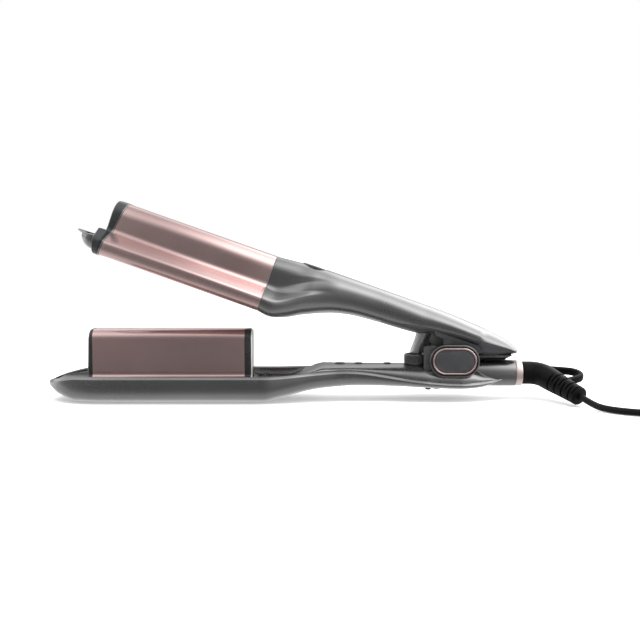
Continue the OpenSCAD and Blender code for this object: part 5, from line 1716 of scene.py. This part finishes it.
    def flange(self) -> Shell:
        """Thin plate round the bowl's rim, with a half-round front that turns up a little."""
        root, long, half = self.front, self.tip_l, self.tip_w / 2
        nose = (1 - np.cos(np.linspace(0.03, math.pi / 2, 40))) * 0.5
        x = root - long * (1 - np.concatenate([nose, np.linspace(0.51, 1.05, 24)])[:, None])
        ahead = np.clip((root - long + half - x) / half, 0, 1)
        reach = half * np.sqrt(np.clip(1 - ahead**2, 0.0006, 1))
        back = (x - root) / long
        high = self.bowl_z + glide([(-1, 1.7), (-0.8, 1.45), (-0.6, 1.4), (-0.2, 2.4), (0.1, 2.4)], back)
        low = self.bowl_z + glide([(-1, 0.85), (-0.85, 0.55), (-0.66, 0.1), (0.1, 0.0)], back)
        u, s = squircle(np.radians(np.linspace(0, 360, 72, endpoint=False))[None], np.array(3.4))
        return loft(x, (reach - 0.1) * u, (low + high) / 2 + s * (high - low) / 2)

    def tip(self) -> None:
        """Cool tip: a bowl with a thin flange round its rim, to press the jaw shut with."""
        low, high = self.nose_front(8.0) - 0.12, self.nose_front(40.0) - 0.12
        behind = slab([(low, 8.0), (high, 40.0), (60, 40.0), (60, 8.0)], 20, 0.01)
        shell = self.bowl(0.0, 0.4) + self.flange()
        on_upper("cool_tongue", shell, GUNMETAL, ["cool_tip"], cutters=[self.bowl(self.tip_wall, 9.0), behind])

    def build(self) -> None:
        """Builds the jaw."""
        self.plates()
        self.cap()
        self.tip()


# ---------------------------------------------------------------- upper arm


@dataclass
class UpperArm:
    """Housing from the bell to the tail, with its liner, inlay, lug, post and dial."""

    jaw: UpperJaw
    back_h: float = 57.6
    back_w: float = 31.0
    tail_l: float = 42.6
    stop_h: float = 2.4
    inlay_d: float = 18.5
    inlay_gap: float = 27.6
    dial_d: float = 17.0
    dial_h: float = 9.5
    post_d: float = 10.0

    def __post_init__(self) -> None:
        """Works out the keys of the housing's long curves."""
        a, h, w = L.housing_x, L.hinge_x, self.back_w / 2
        low, back = self.jaw.low, self.back_h
        self.tail_x = h + self.tail_l
        self.seam_x = a + 0.56 * (h - a)
        self.back_keys = [
            (a, self.jaw.crown_h), (a + 16, back - 1.6), (a + 40, back), (h - 20, back), (h + 8, back - 1.2),
            (h + 30, back - 3.8), (self.tail_x - 4, back - 6.6), (self.tail_x, back - 8.6)]
        self.belly_keys = [
            (a, low), (a + 8, low - 1.3), (a + 18, low + 0.9), (a + 31, low + 6.9), (a + 53.5, 31.8),
            (a + 67, 34.1), (h - 30, 36.5), (h - 21, 39), (h + 2, 41.6), (h + 10, 41.8),
            (h + 16.5, self.stop_z(16.5)), (self.tail_x - 6, self.stop_z(self.tail_l - 6)), (self.tail_x, 47)]
        self.flank_keys = [
            (a, L.half_w), (a + 7, L.half_w - 0.3), (a + 22, L.half_w - 4.2), (a + 38, L.half_w - 8.6),
            (a + 57, w + 1.4), (a + 77, w), (h - 20, w + 0.6), (h + 4, w + 1.4), (h + 24, w - 2),
            (self.tail_x - 6, w - 6.5), (self.tail_x, 4.5)]
        self.full_keys = [(a, 2.3), (h - 60, 2.25), (h - 20, 1.9), (self.tail_x, 1.8)]
        self.blend_keys = [(a, 0), (a + 8, 0.06), (a + 30, 0.72), (a + 47, 1), (self.tail_x, 1)]
        s = self.seam_x
        self.seam_keys = [
            (s, 33), (s + 6, 37.4), (s + 17, 40.2), (h - 20, 44.5), (h + 9, 46.9), (h + 28, 48.0),
            (self.tail_x + 2, 47.7)]

    def stop_z(self, x: float) -> float:
        """Height of the tail's underside, level when open, at x behind the hinge."""
        a = math.radians(L.open_angle)
        return L.hinge_h + (x * math.sin(a) + self.stop_h) / math.cos(a)

    def bell_outline(self, t: np.ndarray) -> tuple[np.ndarray, np.ndarray]:
        """Right half of the bell's closed outline at parameter t from -1 to 27.

        Arcs for the crown, valley, shoulder and lobe, joined by straight stretches.

        Args:
            t: Parameter.

        Returns:
            Half width and height.
        """
        j = self.jaw
        ang = lambda a, b, t0, t1: np.radians(a + (b - a) * np.clip((t - t0) / (t1 - t0), 0, 1))
        mix = lambda p, q, t0, t1: p + (q - p) * np.clip((t - t0) / (t1 - t0), 0, 1)
        cw, ch = j.crown_w - j.crown_r, j.crown_h - j.crown_r
        vx, vz, sx = j.crown_w + j.valley_r, j.lobe_z + 12.2, L.half_w - j.shoulder_r
        ve, lobe_y = math.radians(j.valley_end), L.half_w - j.lobe_r
        end_v = (vx + j.valley_r * math.cos(ve), vz + j.valley_r * math.sin(ve))
        top_s = (sx - j.shoulder_r * math.cos(ve), j.lobe_z - j.shoulder_r * math.sin(ve))
        crown, valley = ang(90, 0, 0, 7), ang(180, j.valley_end, 8, 12)
        shoulder, lobe = ang(j.valley_end - 180, 0, 13, 17), ang(0, -90, 17, 24)
        tests = [t < 0, t < 7, t < 8, t < 12, t < 13, t < 17, t < 24, t < 25, t < 26]
        ys = [
            mix(0, cw, -1, 0), cw + j.crown_r * np.cos(crown), mix(j.crown_w, vx - j.valley_r, 7, 8),
            vx + j.valley_r * np.cos(valley), mix(end_v[0], top_s[0], 12, 13),
            sx + j.shoulder_r * np.cos(shoulder), lobe_y + j.lobe_r * np.cos(lobe),
            mix(lobe_y, lobe_y * 0.55, 24, 25), mix(lobe_y * 0.55, lobe_y * 0.2, 25, 26)]
        zs = [
            0 * t + j.crown_h, ch + j.crown_r * np.sin(crown), mix(ch, vz, 7, 8),
            vz + j.valley_r * np.sin(valley), mix(end_v[1], top_s[1], 12, 13),
            j.lobe_z + j.shoulder_r * np.sin(shoulder), j.lobe_z + j.lobe_r * np.sin(lobe),
            mix(j.low, j.low + 0.9, 24, 25), mix(j.low + 0.9, j.low + 1.6, 25, 26)]
        return np.select(tests, ys, mix(lobe_y * 0.2, 0, 26, 27)), np.select(tests, zs, j.low + 1.6)

    def point(self, x: np.ndarray, t: np.ndarray, deep: float) -> tuple[np.ndarray, np.ndarray]:
        """Housing surface: the bell's outline blended into an oval along the arm.

        Args:
            x: Places along the arm, as a column.
            t: Parameters round the section.
            deep: Inset from the outside.

        Returns:
            Half width and height.
        """
        j = self.jaw
        jy, jz = self.bell_outline(t)
        turn = np.radians(np.where(t < 0, 86 - 4 * t, np.where(t > 26, -86 - 4 * (t - 26), 86 - t * 172 / 26)))
        full = np.where(turn > 0, glide(self.full_keys, x), 2.3)
        power = lambda v: np.sign(v) * np.abs(v) ** (2 / full)
        oy, oz = power(np.cos(turn)), (power(np.sin(turn)) + 1) / 2
        k = glide(self.blend_keys, x)
        w, low = glide(self.flank_keys, x) - deep, glide(self.belly_keys, x) + deep
        tall = glide(self.back_keys, x) - deep - low
        share = (1 - k) * (jz - j.low) / (j.crown_h - j.low) + k * oz
        return w * ((1 - k) * jy / L.half_w + k * oy), low + tall * share

    def seam_at(self, x: np.ndarray) -> np.ndarray:
        """Parameter at which the side seam crosses each section, 27 where it doesn't."""
        t = np.linspace(-1, 27, 561)[None]
        _, z = self.point(x, t, 0.0)
        seam = glide(self.seam_keys, x)
        found = np.array([np.interp(s, high[::-1], t[0, ::-1]) for s, high in zip(seam[:, 0], z)])[:, None]
        return np.where((x < self.seam_x) | (seam <= z.min(axis=1, keepdims=True)), 27.0, found)

    def housing(self) -> None:
        """Upper moulding and the darker liner below its seam."""
        start = L.housing_x + np.array([0, 0.05, 0.15, 0.32])
        middle = np.linspace(L.housing_x + 0.6, self.tail_x - 3, 300)
        end = self.tail_x - 3 + 3 * np.sin(np.linspace(0.08, 1, 14) * math.pi / 2)
        x = np.concatenate([start, middle, end])[:, None]
        shrink = np.zeros_like(x)
        shrink[:4, 0] = [0.35, 0.18, 0.06, 0.0]
        y, z = self.point(x, -1 + (self.seam_at(x) + 1) * np.linspace(0, 1, 150)[None], 0.0)
        tail = np.clip((x - (self.tail_x - 3)) / 3, 0, 1)
        round_off = np.sqrt(np.clip(1 - tail**2 * 0.93, 0, 1))
        mid = (glide(self.back_keys, x) + glide(self.belly_keys, x)) / 2
        y, z = y * round_off * (1 - shrink / 28), mid + (z - mid) * round_off * (1 - shrink / 20)
        ring_y = row(y, y[:, -1:] * 0.9, -y[:, -1:] * 0.9, -y[:, :0:-1])
        ring_z = row(z, z[:, -1:], z[:, -1:], z[:, :0:-1])
        at, top, r = (L.housing_x + self.inlay_gap, 0, 0), self.back_h, self.inlay_d / 2
        wide = r + 0.12
        well = turned([(0, top - 2.3), (wide, top - 2.3), (wide, 70), (0, 70)], at, n=96)
        on_upper("back_moulding", loft(x, ring_y, ring_z), GUNMETAL, ["upper_shell"], cutters=[well])
        dish = [
            (0.0, top - 2.4), (r, top - 2.4), (r, top - 0.9), (r - 0.25, top - 0.62), (r - 0.7, top - 0.55)]
        dish += [(r * s, top - 0.62 - 1.15 * (1 - s * s)) for s in (0.88, 0.75, 0.6, 0.45, 0.3, 0.15, 0.0)]
        on_upper("back_inlay", turned(dish, at, n=96), GRAPHITE, ["top_inlay"])
        self.liner()

    def liner(self) -> None:
        """Lower moulding of the upper arm, and the lug between the hinge's ears."""
        x = np.linspace(self.seam_x + 1.0, self.tail_x - 1.6, 220)[:, None]
        split = self.seam_at(x)
        first = np.argmax(split[:, 0] < 26.9)
        x, split = x[first:], split[first:]
        y, z = self.point(x, split + (27 - split) * np.linspace(0, 1, 90)[None], 0.22)
        ring_y = row(y[:, :1] * 0.85, y, -y[:, -2::-1], -y[:, :1] * 0.85)
        ring_z = row(z[:, :1], z, z[:, -2::-1], z[:, :1])
        h = L.hinge_x
        lug = np.concatenate([
            arc(h, L.hinge_h, 9.4, 158, 382, 40),
            [[h + 14.6, 37.9], [h + 19, 43.6], [h - 19.5, 43.4], [h - 17, 40.3], [h - 11.5, 39.8]]])
        cheek = [
            (h, 24), (h, 43.4), (h - 19.6, 43.4), (h - 19.6, 35), (h - 17.2, 33.5), (h - 17.2, 26),
            (h - 16, 21.2), (h - 6, 21.2)]
        web = [(h - 17.6, 31.8), (h - 16, 43.4), (h - 25, 43.4), (h - 25, 31.8)]
        lugs = slab(lug, 13.6, 0.5) + slab(cheek[::-1], 8.7, 0.4) + slab(web, 2.6, 0.3)
        pads = (("tail_sole", 0.5, -1.2, 9.0, GRAPHITE), ("stop_pad", -1.0, -3.05, 7.5, RUBBER))
        for name, top, low, half, finish in pads:
            ends = (14.0 - top, self.tail_l - 5 + top, self.tail_l - 5.5 + low, 14.5 - low)
            pad = [(h + at, self.stop_z(at) + drop) for at, drop in zip(ends, (top, top, low, low))]
            on_upper(name, slab(pad[::-1], half, 0.4), finish)
        on_upper("tail_liner", loft(x, ring_y, ring_z) + lugs, GRAPHITE, ["upper_liner"])

    def post(self) -> None:
        """Stop post that reaches down into the dial, waisted a little near its foot."""
        r = self.post_d / 2 - 0.7
        profile = [(0, 21.9), (r - 0.8, 21.9), (r, 23.3), (r, 34), (r + 0.25, 38), (r + 0.9, 43.5), (0, 43.5)]
        shell = turned(profile, (L.hinge_x - L.dial_gap + 0.8, 0, 0), 0.8, n=72)
        # The post wears a lighter copy of the body plastic, as painted highlight.
        on_upper("stop_post", shell, BODY_PLASTIC_LIT, ["depth_post"])

    def dial(self) -> None:
        """Knurled dial: two crossing sets of helical grooves make small diamonds.

        The radius falls by the lesser of two waves, one in the angle plus the height and
        one in the angle minus it, and the knurl fades out near both rims.
        """
        r, bore, high = self.dial_d / 2 - 0.9, 6.2, self.dial_h - 2.6
        z = np.linspace(0.6, high - 1.0, 72)[:, None]
        t = np.linspace(0, 2 * math.pi, 480, endpoint=False)[None]
        count = 26
        lean = 2 * math.pi * z / 3.0
        waves = np.minimum(np.abs(np.sin((count * t + lean) / 2)), np.abs(np.sin((count * t - lean) / 2)))
        fade = ease((z - 0.6) / 0.8) * ease((high - 1.0 - z) / 0.8)
        radius = r - 0.75 * fade * (1 - np.clip(waves * 2.0, 0, 1))
        wall = np.stack([radius * np.cos(t), radius * np.sin(t), np.broadcast_to(z, radius.shape)], axis=-1)
        rim = lambda rr, zz: np.stack([rr * np.cos(t), rr * np.sin(t), 0 * t + zz], axis=-1)
        shell = skin(np.concatenate([
            rim(bore, 0.15), rim(bore + 0.3, 0.0), rim(r - 0.4, 0.0), rim(r - 0.1, 0.15), wall,
            rim(r - 0.05, high - 0.7), rim(r - 0.4, high - 0.25), rim(r - 0.9, high),
            rim(bore + 0.4, high), rim(bore, high - 0.3)]), closed=True)
        at = L.hinge_x - L.dial_gap
        shell = moved(shell, at, 0, L.handle_h + 0.1)
        on_lower("knurled_dial", shell, KNURLED, ["depth_dial"], body=Body.DIAL, sharp=60)
        profile = [
            (0, -3.7), (5.85, -3.7), (5.85, -0.5), (6.1, -0.5), (6.1, 2.9), (5.5, 2.9), (5.5, -3.1), (0, -3.1)]
        on_lower("dial_spigot", turned(profile, (at, 0, L.handle_h)), GUNMETAL)

    def build(self) -> None:
        """Builds the upper arm."""
        self.housing()
        self.post()
        self.dial()


# ---------------------------------------------------------------- the whole


def dress_nodes() -> None:
    """Gives each CAD node that stays its finish."""
    kept = {
        "lower_heater": CERAMIC, "upper_heaters": CERAMIC, "control_board": BOARD, "hinge_pin": STEEL,
        "torsion_spring": STEEL, "lower_screws": STEEL, "upper_screws": STEEL, "retaining_ring": STEEL,
        "pivot_bushes": NYLON}
    for name, finish in kept.items():
        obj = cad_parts[name]
        for slot in obj.material_slots:
            slot.material = finish.material()
        LOG.info("%s: kept from the frame", name)


def corners() -> list[list[float]]:
    """Lowest and highest corner of what is shown, as plain numbers."""
    return [[round(float(v), 5) for v in corner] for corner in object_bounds()]


def main() -> None:
    """Builds the studio and each sub-assembly in order."""
    logging.basicConfig(level=logging.INFO, format="%(name)s %(message)s")
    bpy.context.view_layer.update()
    Studio().camera()
    CordSet().build()
    Studio().build()
    LowerArm().build()
    Ridge().build()
    jaw = UpperJaw()
    jaw.build()
    UpperArm(jaw).build()
    dress_nodes()


if __name__ == "__main__":
    main()
